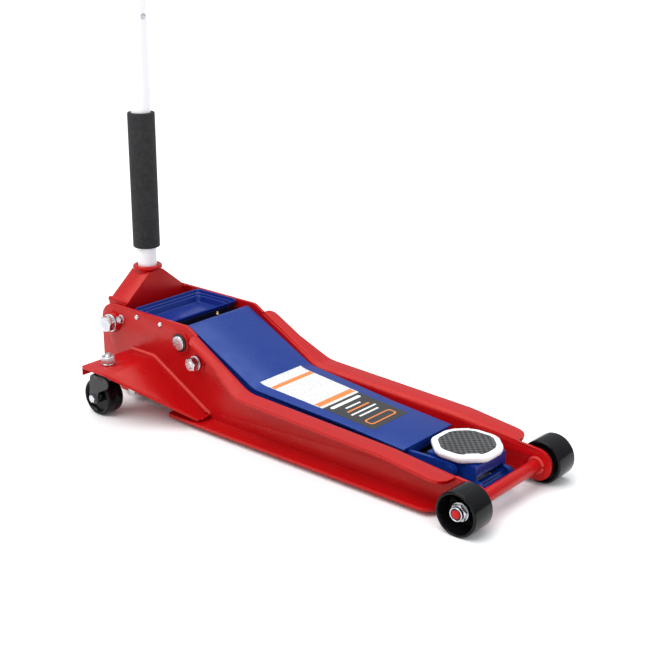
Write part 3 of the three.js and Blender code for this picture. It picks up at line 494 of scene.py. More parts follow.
def swept(name, path, radius, finish, body, slot, ripple=0.2, pitch=2.2 * MM):
    """A bead laid along a path of points, with the ripples of a hand weld."""
    lengths = [0.0]
    for a, b in zip(path, path[1:]):
        lengths.append(lengths[-1] + (b - a).length)
    total = lengths[-1]
    count = max(8, int(total / (pitch / 3)))
    rings = []
    for k in range(count + 1):
        s = total * k / count
        i = max(j for j, length in enumerate(lengths[:-1]) if length <= s + 1e-12)
        t = (s - lengths[i]) / max(lengths[i + 1] - lengths[i], 1e-12)
        place = path[i].lerp(path[i + 1], t)
        along = (path[i + 1] - path[i]).normalized()
        end_taper = min(1.0, math.sqrt(max(0.02, min(s, total - s) / radius)))
        wave = 1 + ripple * abs(math.sin(math.pi * s / pitch))
        reference = Vector(UP if abs(along.z) < 0.99 else (1, 0, 0))
        rings.append((place, along, reference, radius * wave * end_taper))
    return tube(name, rings, 10, finish, body, 80)


def circle(centre, radius, y, steps=40):
    """A closed path round a point, in a plane square to Y."""
    turns = [2 * math.pi * k / steps for k in range(steps + 1)]
    return [Vector((centre.x + radius * math.cos(t), y, centre.z + radius * math.sin(t))) for t in turns]


def hex_head(name, flats, height, base, direction, finish, body, slot, bore=0.0, both=False):
    """A hexagon with the curved chamfer that a turned nut or bolt head has, standing on base."""
    steps = 72
    flat = flats / 2
    crown = flat * 0.95
    slope = math.tan(math.radians(30))

    def corner_radius(angle):
        return flat / math.cos((angle + math.pi / 6) % (math.pi / 3) - math.pi / 6)

    across, beside, along = axes_of(direction)
    inner = max(bore, crown * 0.3)
    dip = 0.0 if bore else height * 0.04
    rings = [[] for _ in range(6 if bore else 5)]
    for k in range(steps):
        angle = 2 * math.pi * k / steps
        outward = across * math.cos(angle) + beside * math.sin(angle)
        r = corner_radius(angle)
        drop = (r - crown) * slope
        profile = ((crown if both else r, 0), (r, drop if both else 0), (r, height - drop),
                   (crown, height), (inner, height - dip), (inner, 0))
        for ring, (reach, rise) in zip(rings, profile):
            ring.append(Vector(base) + outward * reach + along * rise)
    points = [p for ring in rings for p in ring]
    faces = ring_faces(len(rings), steps, closed=bool(bore))
    if not bore:
        faces += end_caps(len(rings), steps)
    return new_piece(name, points, faces, finish, body, 22)


def washer(name, outer, inner, thickness, base, direction, finish, body, slot):
    edge = thickness * 0.3
    profile = [
        (inner, 0), (outer - edge, 0), *arc((outer - edge, edge), edge, -90, 0, 3),
        *arc((outer - edge, thickness - edge), edge, 0, 90, 3), (inner, thickness),
    ]
    return lathe(name, profile, base, direction, finish, body, slot, 64, closed=True)


def threaded_end(name, radius, length, base, direction, finish, body, slot, pitch=1.5 * MM):
    """The free end of a screw: thread ridges and a chamfered tip."""
    turns = int(length / pitch)
    depth = pitch * 0.45
    profile = [(radius * 0.4, 0), (radius - depth, 0)]
    for k in range(turns):
        profile.append((radius, (k + 0.5) * pitch))
        profile.append((radius - depth, (k + 1) * pitch))
    profile += [(radius - depth * 1.6, length), (radius * 0.4, length)]
    return lathe(name, profile, base, direction, finish, body, slot, 48)


# ---- wheels
def front_wheels():
    for side, hand, low, high, middle in both_sides("front_wheel"):
        radius = (high.z - low.z) / 2
        hub_face = 3 * MM
        start = (low.y if hand > 0 else -high.y) + hub_face
        end = high.y if hand > 0 else -low.y
        rim, dish, hub, bore = 5 * MM, 26 * MM, 15.5 * MM, 9 * MM
        inner = radius - rim
        edge = 3 * MM
        profile = [
            (bore, start - hub_face), (hub + 3 * MM, start - hub_face),
            *mm((3, 6), (4, 7), r=hub, h=start), *mm((-1, 7), (0, 6), (0, 1), (1, 0), r=inner, h=start),
            *arc((radius - edge, start + edge), edge, -90, 0, 6),
            *arc((radius - edge, end - edge), edge, 0, 70, 6),
            *arc((inner + 1.6 * MM, end - 1.6 * MM), 1.6 * MM, 80, 180, 5),
            *mm((-2.2, 3), (-4.5, 0), r=inner, h=end - dish),
            *mm((3, 0), (0.5, 2), (0, 9), (-1, 10), r=hub, h=end - dish), (bore, end - dish + 10 * MM),
        ]
        centre = (middle.x, 0, middle.z)
        wheel = lathe(f"wheel_front_{side}", profile, centre, (0, hand, 0), NYLON,
                      f"front_roll_{side}", "nylon", 128, closed=True)
        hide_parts(f"front_wheel_{side}")
        spokes(side, hand, centre, inner - 3.5 * MM, hub - 0.5 * MM, end - dish, 7 * MM)


def spokes(side, hand, centre, outer, inner, floor, height):
    """Low ribs on the floor of the wheel's dish, between the hub and the rim."""
    count = 6
    half = 1.3 * MM
    points, faces = [], []
    for k in range(count):
        turn = 2 * math.pi * (k + 0.25) / count
        out = Vector((math.cos(turn), 0, math.sin(turn)))
        across = Vector((-math.sin(turn), 0, math.cos(turn)))
        first = len(points)
        for r, rise in ((inner, height), (outer, height * 0.35)):
            for sign in (-1, 1):
                for lift in (-0.5 * MM, rise):
                    points.append(Vector(centre) + out * r + across * sign * half
                                  + Vector((0, hand * (floor + lift), 0)))
        faces += [tuple(first + k for k in face) for face in BOX_FACES]
    ribs = new_piece(f"wheel_ribs_{side}", points, faces, NYLON, f"front_roll_{side}")
    soften(ribs, 0.5 * MM, 2)


def caster_wheels():
    for side, _, low, high, middle in both_sides("caster_wheel"):
        radius, half = (high.z - low.z) / 2, (high.y - low.y) / 2
        bore, edge = 5.5 * MM, 5 * MM
        web, hub, rim = half - 7 * MM, 9.5 * MM, radius - 6.5 * MM
        face = [
            *mm((0, 0), (1.2, -1.2), r=hub, h=half), (hub + 2.5 * MM, web),
            (rim - 2.5 * MM, web), *mm((-0.5, -1.5), (0.5, -0.5), r=rim, h=half),
        ]
        outside = [(bore, half), *face, *reversed(arc((radius - edge, half - edge), edge, 0, 80, 8))]
        tread = [(radius + 0.0, 1.2 * MM), (radius - 0.4 * MM, 0.6 * MM)]
        upper = outside + tread
        profile = upper + [(r, -h) for r, h in reversed(upper)]
        wheel = lathe(f"wheel_caster_{side}", profile, middle, (0, 1, 0), NYLON,
                      f"caster_roll_{side}", "nylon", 112, closed=True)
        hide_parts(f"caster_wheel_{side}")


# ---- fasteners
def axle_ends():
    for side, hand, low, high, middle in both_sides("axle_nut"):
        base = low.y if hand > 0 else high.y
        out = (0, hand, 0)
        foot = Vector((middle.x, base, middle.z))
        rest = washer(f"axle_washer_{side}", 16 * MM, 8.8 * MM, 2.5 * MM, foot, out, *ROOT_ZINC)
        top = abs((high.y if hand > 0 else low.y) - base)
        hex_height = 6.2 * MM
        hex_top = 2.7 * MM + hex_height
        nut = hex_head(f"axle_hex_{side}", 26.6 * MM, hex_height, foot + Vector((0, hand * 2.7 * MM, 0)),
                       out, *ROOT_ZINC, bore=8.9 * MM, both=True)
        crown = [
            *mm((8.9, -1), (12.6, -1), (12.2, 1), h=hex_top),
            (12 * MM, top - 1.4 * MM), *arc((10.8 * MM, top - 1.2 * MM), 1.2 * MM, 0, 150, 6),
            *mm((9.4, -2.4), (8.9, -3.4), h=top),
        ]
        lathe(f"axle_crown_{side}", crown, foot, out, *ROOT_ZINC, 72, closed=True)
        washer(f"axle_lock_ring_{side}", 9.2 * MM, 7.6 * MM, 2.4 * MM,
               foot + Vector((0, hand * (top - 3.4 * MM), 0)), out, NYLON_RING, "root", "zinc")
        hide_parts(f"axle_nut_{side}")
        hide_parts(f"axle_nut_{side}")


def front_axle():
    """The axle's ends step down where the lock nuts grip them."""
    low, high, middle = cad("front_axle")
    reach, radius = (high.y - low.y) / 2, (high.z - low.z) / 2
    neck = 7.4 * MM
    shoulder = reach - 5 * MM
    end = [(radius, shoulder - 1 * MM), (radius - 1 * MM, shoulder), (neck, shoulder),
           *arc((neck - 1 * MM, reach - 1 * MM), 1 * MM, 0, 80, 4)]
    profile = [(r, -h) for r, h in reversed(end)] + end
    axle = lathe("axle_bar", profile, middle, (0, 1, 0), *ROOT_RED, 72)
    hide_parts("front_axle")


def yoke_bolts():
    for side, hand, low, high, middle in both_sides("yoke_bolt"):
        tip = high.y if hand > 0 else low.y
        out = (0, hand, 0)
        head = Vector((middle.x, tip - hand * 6 * MM, middle.z))
        hexagon = hex_head(f"yoke_bolt_head_{side}", 29 * MM, 12 * MM, head, out, *ROOT_ZINC)
        foot = head - Vector((0, hand * 3 * MM, 0))
        washer(f"yoke_washer_{side}", 18 * MM, 9 * MM, 2.8 * MM, foot, out, *ROOT_ZINC)
        boss = mm((9.2, -8), (21, -8), (20, -2), (19, -0.3), (9.2, -0.3))
        lathe(f"yoke_boss_{side}", boss, foot, out, *ROOT_RED, 64, closed=True)
        shank = low.y if hand > 0 else high.y
        length = abs(foot.y - shank) + 1 * MM
        lathe(f"yoke_shank_{side}", rounded_bar(9 * MM, 0, length, 0.6 * MM),
              (middle.x, shank, middle.z), out, *ROOT_ZINC, 48)
        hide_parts(f"yoke_bolt_{side}")


def link_bolts():
    for side, hand, low, high, middle in both_sides("link_bolt"):
        tip, shank = (high.y, low.y) if hand > 0 else (low.y, high.y)
        out = (0, hand, 0)
        washer_foot = Vector((middle.x, tip - hand * 17 * MM, middle.z))
        washer(f"link_washer_{side}", 14.2 * MM, 7 * MM, 2.4 * MM, washer_foot, out, *ROOT_ZINC)
        nut_foot = washer_foot + Vector((0, hand * 2.6 * MM, 0))
        nut = hex_head(f"link_nut_{side}", 23 * MM, 13 * MM, nut_foot, out, *ROOT_ZINC,
                       bore=6.9 * MM, both=True)
        threaded_end(f"link_thread_{side}", 6.8 * MM, 14.4 * MM, nut_foot, out, *ROOT_ZINC)
        head = Vector((middle.x, shank, middle.z))
        lathe(f"link_shank_{side}", rounded_bar(7 * MM, 0, abs(nut_foot.y - shank), 0.5 * MM),
              head, out, *ROOT_ZINC, 48)
        hex_head(f"link_head_{side}", 19 * MM, 6.5 * MM, head + Vector((0, hand * 6.7 * MM, 0)),
                 (0, -hand, 0), *ROOT_ZINC)
        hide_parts(f"link_bolt_{side}")


def caster_stems():
    for side, _, low, high, middle in both_sides("caster_stem"):
        wing_top = cad(f"caster_wing_{side}")[1].z
        foot = Vector((middle.x, middle.y, wing_top + 0.3 * MM))
        washer(f"stem_washer_{side}", 13.5 * MM, 6 * MM, 2.6 * MM, foot, UP, *ROOT_ZINC)
        nut = hex_head(f"stem_nut_{side}", 24 * MM, 13 * MM, foot + Vector((0, 0, 2.7 * MM)), UP,
                       *ROOT_ZINC, bore=5.9 * MM, both=True)
        threaded_end(f"stem_thread_{side}", 5.8 * MM, high.z - foot.z, foot, UP, *ROOT_ZINC)
        lathe(f"stem_shank_{side}", rounded_bar(6 * MM, 0, foot.z - low.z, 0.5 * MM),
              (middle.x, middle.y, low.z), UP, *ROOT_ZINC, 40)
        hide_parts(f"caster_stem_{side}")


def caster_races():
    """The zinc bearing dish between wing and fork, with a rolled lower edge."""
    for side, _, low, high, middle in both_sides("caster_race"):
        radius = (high.x - low.x) / 2
        height = high.z - low.z
        profile = [
            (6.3 * MM, 0), *mm((-7, 0), (-4, 1), r=radius),
            *arc((radius - 2.6 * MM, height * 0.45), 2.6 * MM, -70, 60, 6),
            *mm((-3, -1), (-3.4, 0), r=radius, h=height), (6.3 * MM, height),
        ]
        race = lathe(f"race_dish_{side}", profile, (middle.x, middle.y, low.z), UP, *ROOT_ZINC, 80,
                     closed=True)
        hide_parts(f"caster_race_{side}")


def caster_forks():
    """Stamped forks: a skirted crown and two broad legs that taper to the axle."""
    for side, hand, low, high, _ in both_sides("caster_fork"):
        body = f"caster_{side}"
        stem = cad(f"caster_stem_{side}")[2]
        axle = cad(f"caster_wheel_{side}")[2]
        sheet = 4 * MM
        shoulder = 81 * MM          # above it the fork stays inside its own turning circle
        outline = [
            *mm((-27, -9), (-25, -0.5), r=stem.x, h=shoulder),
            *mm((-19, -3), (19, -3), r=stem.x, h=high.z),
            *mm((25, -0.5), (26.5, -8), (22, -17), r=stem.x, h=shoulder),
            *mm((15, 15), r=axle.x, h=axle.z),
        ]
        outline += [(axle.x + 12.5 * MM * math.cos(t), axle.z + 12.5 * MM * math.sin(t))
                    for t in [math.radians(20 - 220 * k / 14) for k in range(15)]]
        outline = [(max(x, low.x), max(z, low.z)) for x, z in outline]
        count = len(outline)
        faces = ring_faces(2, count) + end_caps(2, count)
        for word, outer in (("in", -hand), ("out", hand)):
            face = high.y if outer > 0 else low.y
            points = [Vector((x, face - outer * depth, z)) for depth in (0, sheet) for x, z in outline]
            leg = new_piece(f"fork_leg_{word}_{side}", points, faces, BLACK_STEEL, body)
            soften(leg, 1 * MM, 3)
            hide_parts(f"caster_fork_{side}")
        crown = [
            *mm((6.6, 0), (22, 0), (25.6, -3), (28.6, -4), h=high.z - sheet), (28.9 * MM, high.z - 3 * MM),
            *arc((26 * MM, high.z - 3 * MM), 2.9 * MM, 10, 85, 5), (6.6 * MM, high.z),
        ]
        disc = lathe(f"fork_crown_{side}", crown, (stem.x, stem.y, 0), UP, BLACK_STEEL, body,
                     "black_steel", 72, closed=True)
        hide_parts(f"caster_fork_{side}")


def caster_axles():
    for side, hand, low, high, middle in both_sides("caster_axle_bolt"):
        body = f"caster_{side}"
        reach = (high.y - low.y) / 2
        shaft = lathe(f"caster_axle_{side}", rounded_bar(5 * MM, -reach + 5 * MM, reach - 5 * MM, 0.4 * MM),
                      middle, (0, 1, 0), ZINC, body, "zinc", 40)
        for end in (-1, 1):
            foot = middle + Vector((0, end * (reach - 6 * MM), 0))
            word = "in" if end * hand < 0 else "out"
            hex_head(f"caster_hex_{word}_{side}", 14 * MM, 6 * MM, foot, (0, end, 0), ZINC, body, "zinc")
        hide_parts(f"caster_axle_bolt_{side}")


def tie_rod():
    low, high, middle = cad("tie_rod")
    reach = (high.y - low.y) / 2
    rod = lathe("tie_rod_bar", rounded_bar(8 * MM, -reach + 5 * MM, reach - 5 * MM, 0.5 * MM), middle,
                (0, 1, 0), *ROOT_ZINC, 48)
    for side, hand in SIDES:
        plate = PLATE_FACE + 0.3 * MM
        washer(f"tie_washer_{side}", 12.5 * MM, 8 * MM, 2 * MM, (middle.x, hand * plate, middle.z),
               (0, hand, 0), *ROOT_ZINC)
        foot = Vector((middle.x, hand * (plate + 2 * MM), middle.z))
        hex_head(f"tie_head_{side}", 19 * MM, reach - plate - 2 * MM, foot, (0, hand, 0), *ROOT_ZINC)
    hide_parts("tie_rod")


def small_side_hardware():
    """A small bolt beside each yoke pivot and two tray rivets a side."""
    pivot = cad("yoke_bolt_left")[2]
    tray_low, tray_high, _ = cad("tool_tray")
    for side, hand in SIDES:
        out = (0, hand, 0)
        at = Vector((pivot.x + 23 * MM, hand * PLATE_FACE, pivot.z + 10.5 * MM))
        washer(f"stop_washer_{side}", 8.5 * MM, 4 * MM, 1.6 * MM, at, out, *ROOT_ZINC)
        head = at + Vector((0, hand * 1.6 * MM, 0))
        hex_head(f"stop_bolt_{side}", 13 * MM, 6.5 * MM, head, out, *ROOT_ZINC)
        for k, x in enumerate((tray_low.x + 18 * MM, tray_high.x - 29 * MM)):
            profile = [(0.4 * MM, 0), (5 * MM, 0), *arc((2.6 * MM, 0.4 * MM), 2.3 * MM, 5, 80, 6),
                       (0.4 * MM, 2.4 * MM)]
            place = (x, hand * PLATE_FACE, tray_high.z - 12 * MM)
            lathe(f"tray_rivet_{k}_{side}", profile, place, out, *ROOT_ZINC, 40)


def pivot_ends():
    low, high, middle = cad("pivot_shaft")
    reach = (high.y - low.y) / 2
    shaft = lathe("pivot_bar", rounded_bar((high.x - low.x) / 2, -reach, reach, 1.2 * MM), middle,
                  (0, 1, 0), ZINC, "root", "steel", 80)
    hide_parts("pivot_shaft")
    for side, hand, low, high, middle in both_sides("pivot_ring"):
        base = low.y if hand > 0 else high.y
        ring = washer(f"snap_ring_{side}", 17.4 * MM, 14.2 * MM, 2.5 * MM, (middle.x, base, middle.z),
                      (0, hand, 0), BLACK_STEEL, "root", "black_steel")
        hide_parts(f"pivot_ring_{side}")


# ---- tool tray
def tool_tray():
    """A pressed tray: a rolled rim that overhangs the body, and a step inside."""
    low, high, middle = cad("tool_tray")
    half_x, half_y = (high.x - low.x) / 2, (high.y - low.y) / 2
    sections = [          # inset and corner radius in millimetres, height between them in metres
        (8.5, low.z, 7), (7, low.z + 2 * MM, 8), (6.2, high.z - 8 * MM, 9), (5.4, high.z - 6.5 * MM, 9),
        (1.5, high.z - 5.6 * MM, 9), (0.3, high.z - 4.6 * MM, 9), (0, high.z - 2.5 * MM, 9),
        (0.3, high.z - 0.8 * MM, 9), (1.2, high.z, 8.6), (2.4, high.z - 0.5 * MM, 8),
        (3.2, high.z - 2 * MM, 7), (3.8, high.z - 9 * MM, 6.5), (4.8, high.z - 10.4 * MM, 6.5),
        (8, high.z - 10.8 * MM, 8), (9.2, high.z - 12 * MM, 8), (10, low.z + 5.5 * MM, 8),
        (11.4, low.z + 3.6 * MM, 7.5), (13.5, low.z + 3 * MM, 7),
    ]
    corner_steps = 8
    points = []
    for inset, z, corner in sections:
        a, b, r = half_x - inset * MM, half_y - inset * MM, corner * MM
        for sx, sy, start in ((1, 1, 0), (-1, 1, 90), (-1, -1, 180), (1, -1, 270)):
            for k in range(corner_steps + 1):
                t = math.radians(start + 90 * k / corner_steps)
                points.append(Vector((middle.x + sx * (a - r) + r * math.cos(t),
                                      middle.y + sy * (b - r) + r * math.sin(t), z)))
    size = 4 * (corner_steps + 1)
    faces = ring_faces(len(sections), size) + end_caps(len(sections), size)
    # The tray takes the darker copy of the blue enamel, which is painted shade.
    tray = new_piece("tray_pressing", points, faces, TRAY_BLUE_SHADED, "root", 50)
    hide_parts("tool_tray")
    # Painted shade: a black slab in front of the tray's lower wall stands for the dark gap under the
    # overhanging rim.
    slab("tray_shadow", (high.x - 7 * MM, low.y + 7 * MM, low.z + 0.5 * MM),
         (high.x - 3.5 * MM, high.y - 7 * MM, high.z - 8.5 * MM), BLACK_STEEL, "root")


# ---- weld beads
def weld_beads():
    plate = PLATE_FACE + 0.6 * MM
    wing_low, wing_high, _ = cad("caster_wing_left")
    knee = wing_low.x + 74 * MM
    _, tube_high, tube_middle = cad("front_tube")
    pin = cad("pivot_shaft")[2]
    anchor = cad("link_bolt_left")[2]
    for side, hand in SIDES:
        y = hand * plate
        top = [
            Vector((wing_low.x + 6 * MM, y, wing_high.z + 1.0 * MM)),
            Vector((knee - 4 * MM, y, wing_high.z + 1.0 * MM)),
            Vector((knee + 4 * MM, y, wing_high.z - 1.4 * MM)),
            Vector((wing_high.x - 2 * MM, y, wing_low.z + 8.5 * MM)),
        ]
        # Beads in the lighter weld red carry a painted highlight.
        swept(f"wing_weld_{side}", top, 3.9 * MM, *ROOT_WELD_HIGHLIGHT, ripple=0.25, pitch=2.8 * MM)
        bulb = rounded_bar(5 * MM, -4.2 * MM, 4.2 * MM, 4 * MM)
        lathe(f"weld_end_{side}", bulb, top[-1], (0, hand, 0), *ROOT_WELD_HIGHLIGHT, 32)
        foot = [
            Vector((wing_high.x, y, wing_low.z + 6 * MM)),
            Vector((wing_high.x + 1 * MM, hand * 118 * MM, wing_low.z + 3.4 * MM)),
        ]
        swept(f"wing_foot_weld_{side}", foot, 2.2 * MM, *ROOT_RED)
        for word, centre, radius in (("pivot", pin, 22), ("anchor", anchor, 17)):
            swept(f"{word}_boss_weld_{side}", circle(centre, radius * MM, y), 1.7 * MM, *ROOT_RED)
        end = hand * (tube_high.y - 1.2 * MM)
        around = circle(tube_middle, 12.6 * MM, end)
        swept(f"tube_weld_{side}", around, 3.0 * MM, *ROOT_WELD_HIGHLIGHT, ripple=0.25, pitch=3 * MM)


def yoke_ears():
    """The cheeks of the yoke end in rolled ears beside its sloping sides."""
    low, high, _ = cad("handle_yoke")
    pivot = cad("yoke_bolt_left")[2]
    for side, hand in SIDES:
        ear = rounded_bar(5.2 * MM, low.x + 0.5 * MM, high.x - 0.5 * MM, 1.5 * MM)
        foot = (0, hand * (high.y - 5.6 * MM), pivot.z + 38 * MM)
        lathe(f"yoke_ear_{side}", ear, foot, (1, 0, 0), RED, "yoke", "red_paint", 40)


def cover_lip():
    """The arm cover's front edge turns down between the side plates."""
    front = cad("arm_cover")[1].x
    half, drop, thickness = 51.5 * MM, 14 * MM, 4.5 * MM
    top = 69.5 * MM
    profile = [
        (front - thickness, top), (front - 1.2 * MM, top), (front, top - 1.2 * MM),
        (front, top - drop), (front - thickness, top - drop),
    ]
    points = [Vector((x, y, z)) for y in (-half, half) for x, z in profile]
    faces = ring_faces(2, len(profile)) + end_caps(2, len(profile))
    lip = new_piece("cover_front_lip", points, faces, BLUE, "lift_arm")
    soften(lip, 1 * MM, 2)


def slab(name, low, high, finish, body):
    """A box with softened edges between two corners."""
    corners = [Vector((x, y, z)) for x in (low[0], high[0]) for y in (low[1], high[1])
               for z in (low[2], high[2])]
    soften(new_piece(name, corners, BOX_FACES, finish, body), 0.6 * MM, 2)


def shade_fillers():
    """Painted shade: black slabs behind the bracket's slot and under the arm cover's front edge stand for
    the dark gaps there.
    """
    low, high, middle = cad("saddle_bracket")
    half = middle.y + 37 * MM
    pin = cad("saddle_pin_left")[2]
    # A black slab behind the bracket's slot: painted shade.
    slab("bracket_slot_shade", (pin.x + 14 * MM, -half, low.z + 1 * MM), (pin.x + 18 * MM, half, high.z - 4 * MM),
         BLACK_STEEL, "saddle_head")
    # A black slab under the arm cover's front lip: painted shade.
    front = cad("arm_cover")[1].x
    reach, bottom, top = 43 * MM, 46 * MM, 49 * MM          # clear of the radius rods beside it
    slab("arm_gap_shade", (front - 30 * MM, -reach, bottom), (front + 26 * MM, reach, top),
         BLACK_STEEL, "lift_arm")


# ---- handle
def handle():
    low, high, middle = cad("foam_sleeve")
    radius = (high.x - low.x) / 2
    bore = 19.3 * MM
    edge = 2.4 * MM
    height = high.z - low.z
    profile = [
        (bore, 0), *arc((radius - edge, edge), edge, -90, 0, 6),
        *arc((radius - edge, height - edge), edge, 0, 90, 6), (bore, height),
    ]
    foam = lathe("foam_tube", profile, (middle.x, middle.y, low.z), UP, FOAM, "handle", "foam", 96,
                 closed=True)
    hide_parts("foam_sleeve")
    low, high, middle = cad("hand_grip")
    radius = (high.x - low.x) / 2
    length = high.z - low.z
    ribs, pitch = 13, 7.5 * MM
    profile = [(19.3 * MM, 0), *arc((radius - 2 * MM, 2 * MM), 2 * MM, -90, 0, 4)]
    for k in range(ribs):
        at = 14 * MM + k * pitch
        profile += mm((-0.1, 0), (-1.3, 1.4), (-1.3, 2.6), (-0.1, 4), r=radius, h=at)
    profile += [*arc((radius - 8 * MM, length - 8 * MM), 8 * MM, 0, 88, 8),
                *mm((1, 0), (1, -9), (19.3, -9), h=length)]
    grip = lathe("grip_ribbed", profile, (middle.x, middle.y, low.z), UP, GRIP, "handle",
                 "grip_rubber", 80, closed=True)
    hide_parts("hand_grip")


# ---- saddle and its pad
def soft_octagon(half, chamfer, radius, steps=6):
    """An octagon's outline with every corner rounded, as (x, y) points."""
    inner = half - chamfer
    corners = [(half, -inner), (half, inner), (inner, half), (-inner, half),
               (-half, inner), (-half, -inner), (-inner, -half), (inner, -half)]
    points = []
    for k, corner in enumerate(corners):
        here = Vector(corner)
        before, after = Vector(corners[k - 1]), Vector(corners[(k + 1) % 8])
        reach = radius * math.tan(math.radians(22.5))
        first = here + (before - here).normalized() * reach
        last = here + (after - here).normalized() * reach
        inward = ((first - here) + (last - here)).normalized()
        centre = here + inward * (radius / math.cos(math.radians(22.5)))
        start = math.atan2(first.y - centre.y, first.x - centre.x)
        for j in range(steps + 1):
            angle = start + math.radians(45) * j / steps
            points.append((centre.x + radius * math.cos(angle), centre.y + radius * math.sin(angle)))
    return points


def saddle_dish():
    """The white cast cup: a deep rounded octagon with four slightly raised corners."""
    low, high, middle = cad("saddle")
    half = (high.x - low.x) / 2
    pad_low, pad_high, _ = cad("saddle_pad")
    pad_half = (pad_high.x - pad_low.x) / 2
    floor = pad_low.z - 0.3 * MM
    foot, rim = floor - 5.4 * MM, high.z - 2.6 * MM
    outside = [(-8.5, foot), (-5.5, foot + 1.2 * MM), (-2, foot + 4.4 * MM), (-0.4, foot + 8 * MM),
               (0, foot + 10.5 * MM), (-0.5, rim - 1.4 * MM), (-1.8, rim - 0.3 * MM), (-3.4, rim)]
    step = (pad_half - half) / MM + 0.6
    inside = [(step + 1.6, rim), (step + 0.6, rim - 0.4 * MM), (step, rim - 1.2 * MM), (step, floor)]
    rings = []
    for inset, z in outside + inside:
        chamfer = 34.5 * MM + inset * MM * 0.5
        for x, y in soft_octagon(half + inset * MM, chamfer, 26 * MM):
            corner = 1 - abs(abs(math.atan2(abs(y), abs(x))) - math.pi / 4) / math.radians(17)
            lift = 2.3 * MM * min(1, max(0, corner) * 2.2) if z > foot + 9 * MM and inset > -10 else 0
            rings.append(Vector((middle.x + x, middle.y + y, z + lift)))
    count = len(outside) + len(inside)
    size = len(rings) // count
    faces = ring_faces(count, size) + end_caps(count, size)
    dish = new_piece("saddle_cup", rings, faces, WHITE, "saddle_dish", 40)
    post = lathe("saddle_post", rounded_bar(11.9 * MM, low.z, foot + 2 * MM, 1 * MM),
                 (middle.x, middle.y, 0), UP, WHITE, "saddle_dish", "white_paint", 48)
    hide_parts("saddle")
    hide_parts("saddle")


def saddle_pad():
    """A rubber pad with staggered square pits."""
    low, high, middle = cad("saddle_pad")
    half = (high.x - low.x) / 2
    cells = 15
    pitch = 2 * half / cells
    wall = 0.06
    pit = 1.8 * MM
    cell_marks = [-half + (k + t) * pitch for k in range(cells) for t in (wall, 1 - wall)]
    marks = sorted([-half, half] + cell_marks)
    sheet = bmesh.new()
    grid = {(i, j): sheet.verts.new((x, y, 0)) for i, x in enumerate(marks) for j, y in enumerate(marks)}
    count = len(marks)
    sunk = []
    for i in range(count - 1):
        for j in range(count - 1):
            face = sheet.faces.new((grid[i, j], grid[i + 1, j], grid[i + 1, j + 1], grid[i, j + 1]))
            if i % 2 and j % 2 and (i // 2 + j // 2) % 2:
                sunk.append(face)
    made = bmesh.ops.inset_individual(sheet, faces=sunk, thickness=0.25 * MM, depth=-pit)
    # The sunk pits take the second, near-black material: painted shade in the recesses.
    for face in sunk + made["faces"]:
        face.material_index = 1
    edges = [e for e in sheet.edges if e.is_boundary]
    fall = bmesh.ops.extrude_edge_only(sheet, edges=edges)
    for v in [v for v in fall["geom"] if isinstance(v, bmesh.types.BMVert)]:
        v.co.z = low.z - high.z
    bmesh.ops.contextual_create(sheet, geom=[e for e in sheet.edges if e.is_boundary])
    cuts = ((45, half * 1.108), (24, half * 1.045), (66, half * 1.045))          # angle, distance
    for quarter in range(4):
        for turn, reach in cuts:
            angle = math.radians(turn + 90 * quarter)
            out = Vector((math.cos(angle), math.sin(angle), 0))
            everything = sheet.verts[:] + sheet.edges[:] + sheet.faces[:]
            result = bmesh.ops.bisect_plane(sheet, geom=everything, plane_co=out * reach, plane_no=out,
                                            clear_outer=True)
            rim = [e for e in result["geom_cut"] if isinstance(e, bmesh.types.BMEdge)]
            bmesh.ops.contextual_create(sheet, geom=rim)
    bmesh.ops.recalc_face_normals(sheet, faces=sheet.faces)
    bmesh.ops.translate(sheet, verts=sheet.verts, vec=(middle.x, middle.y, high.z))
    mesh = bpy.data.meshes.new("pad_grid")
    sheet.to_mesh(mesh)
    sheet.free()
    mesh.materials.append(PAD)
    mesh.materials.append(PAD_PIT_SHADE)
    pad = bpy.data.objects.new("pad_grid", mesh)
    bpy.context.collection.objects.link(pad)
    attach(pad, "saddle_dish")
    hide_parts("saddle_pad")


# ---- labels on the arm
def cover_surface():
    cover = NODES["arm_cover"].data
    points = [v.co.copy() for v in cover.vertices]
    return BVHTree.FromPolygons(points, [tuple(p.vertices) for p in cover.polygons])


COVER = cover_surface()


def on_cover(x, y):
    return COVER.ray_cast(Vector((x, y, 0.5)), Vector((0, 0, -1)))[0].z


def label(name, x0, x1, half_widths, lift, finish, corner):
    """A thin sheet between two places on the top of the arm cover, which it follows."""
    h0, h1 = half_widths
    nx = max(2, int((x1 - x0) / (3 * MM)))
    ny = max(2, int(2 * max(h0, h1) / (12 * MM)))
    thickness = 0.12 * MM
    top, bottom = [], []
    for i in range(nx + 1):
        x = x0 + (x1 - x0) * i / nx
        half = h0 + (h1 - h0) * i / nx
        inset = max(0.0, corner - min(x - x0, x1 - x))
        half -= corner - math.sqrt(max(0.0, corner * corner - inset * inset))
        for j in range(ny + 1):
            y = -half + 2 * half * j / ny
            z = on_cover(x, y) + lift
            top.append(Vector((x, y, z)))
            bottom.append(Vector((x, y, z - thickness)))
    columns = ny + 1
    count = len(top)
    faces = []
    for i in range(nx):
        for j in range(ny):
            a = i * columns + j
            faces.append((a, a + columns, a + columns + 1, a + 1))
            faces.append((count + a, count + a + 1, count + a + columns + 1, count + a + columns))
    rim = (list(range(columns)) + [i * columns + ny for i in range(1, nx + 1)]
           + [nx * columns + j for j in range(ny - 1, -1, -1)] + [i * columns for i in range(nx - 1, 0, -1)])
    for a, b in zip(rim, rim[1:] + rim[:1]):
        faces.append((a, b, count + b, count + a))
    return new_piece(name, top + bottom, faces, finish, "lift_arm", 60)


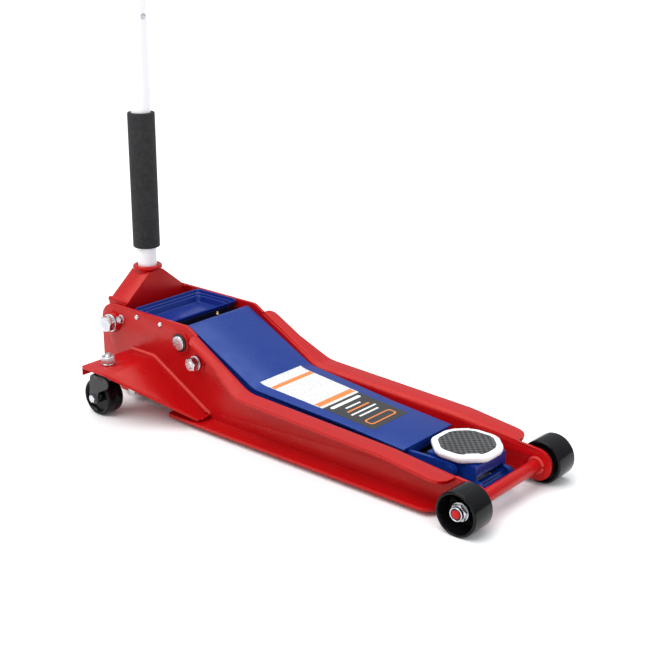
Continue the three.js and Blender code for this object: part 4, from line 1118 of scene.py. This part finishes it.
def labels():
    """A white sheet with plain bars, and a dark one with a block and dashes. No lettering."""
    front = cad("arm_cover")[1].x
    lift, step = 0.22 * MM, 0.16 * MM
    rows = (
        # name, start and end behind the front edge, half width at each, layer, finish, corner
        ("sheet", 338, 193, 56, 51, 0, LABEL, 0),
        ("margin_rear", 308, 302, 53, 53, 0.5, LABEL_PLAIN, 0),
        ("bar_rear", 314, 303, 54, 54, 1, ORANGE, 0),
        ("gap", 252, 247, 51, 51, 1, LABEL_PLAIN, 0),
        ("bar_front", 213, 200, 49, 49, 1, ORANGE, 0),
        ("dark", 193, 80, 50, 49, 0, BLACK_LABEL, 0),
        ("dark_stripe", 186, 178, 41, 41, 1, LABEL_PLAIN, 3),
        ("dark_dash_0", 167, 163, 20, 20, 1, LABEL_PLAIN, 0),
        ("dark_dash_1", 155, 151, 30, 30, 1, ORANGE, 0),
        ("dark_dash_2", 143, 139, 34, 34, 1, LABEL_PLAIN, 0),
        ("dark_dash_3", 131, 127, 26, 26, 1, LABEL_PLAIN, 0),
        ("block", 113, 93, 36, 36, 1, ORANGE, 5),
        ("block_inside", 110, 96, 33, 33, 2, BLACK_LABEL, 4),
    )
    for name, start, end, h0, h1, layer, finish, corner in rows:
        label(f"label_{name}", front - start * MM, front - end * MM, (h0 * MM, h1 * MM),
              lift + layer * step, finish, corner * MM)


# ---- return springs
def return_springs():
    for side, _, low, high, middle in both_sides("return_spring"):
        radius, wire = 6 * MM, 1.1 * MM
        turns, hook = 15, 7 * MM
        start, end = low.x + hook, high.x - hook
        steps = turns * 20
        line = [Vector((low.x, middle.y, middle.z))]
        for k in range(steps + 1):
            angle = 2 * math.pi * turns * k / steps
            line.append(Vector((start + (end - start) * k / steps,
                                middle.y + radius * math.sin(angle), middle.z + radius * math.cos(angle))))
        line.append(Vector((high.x, middle.y, middle.z)))
        reference = Vector((0, 0.6, 0.8))
        ahead, behind = line[1:] + line[-1:], line[:1] + line[:-1]
        rings = [(place, (b - a).normalized(), reference, wire)
                 for place, a, b in zip(line, behind, ahead)]
        coil = tube(f"spring_coil_{side}", rings, 8, STEEL, "root", 60)
        coil.parent = None
        del coil["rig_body"]
        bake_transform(coil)
        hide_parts(f"return_spring_{side}")


for build in (
    camera, studio, dress_nodes, front_wheels, caster_wheels, axle_ends, front_axle, yoke_bolts,
    link_bolts, caster_stems, caster_races, caster_forks, caster_axles, tie_rod,
    small_side_hardware, pivot_ends, weld_beads, yoke_ears, cover_lip, handle, saddle_dish,
    saddle_pad, tool_tray, shade_fillers, labels, return_springs,
):
    build()
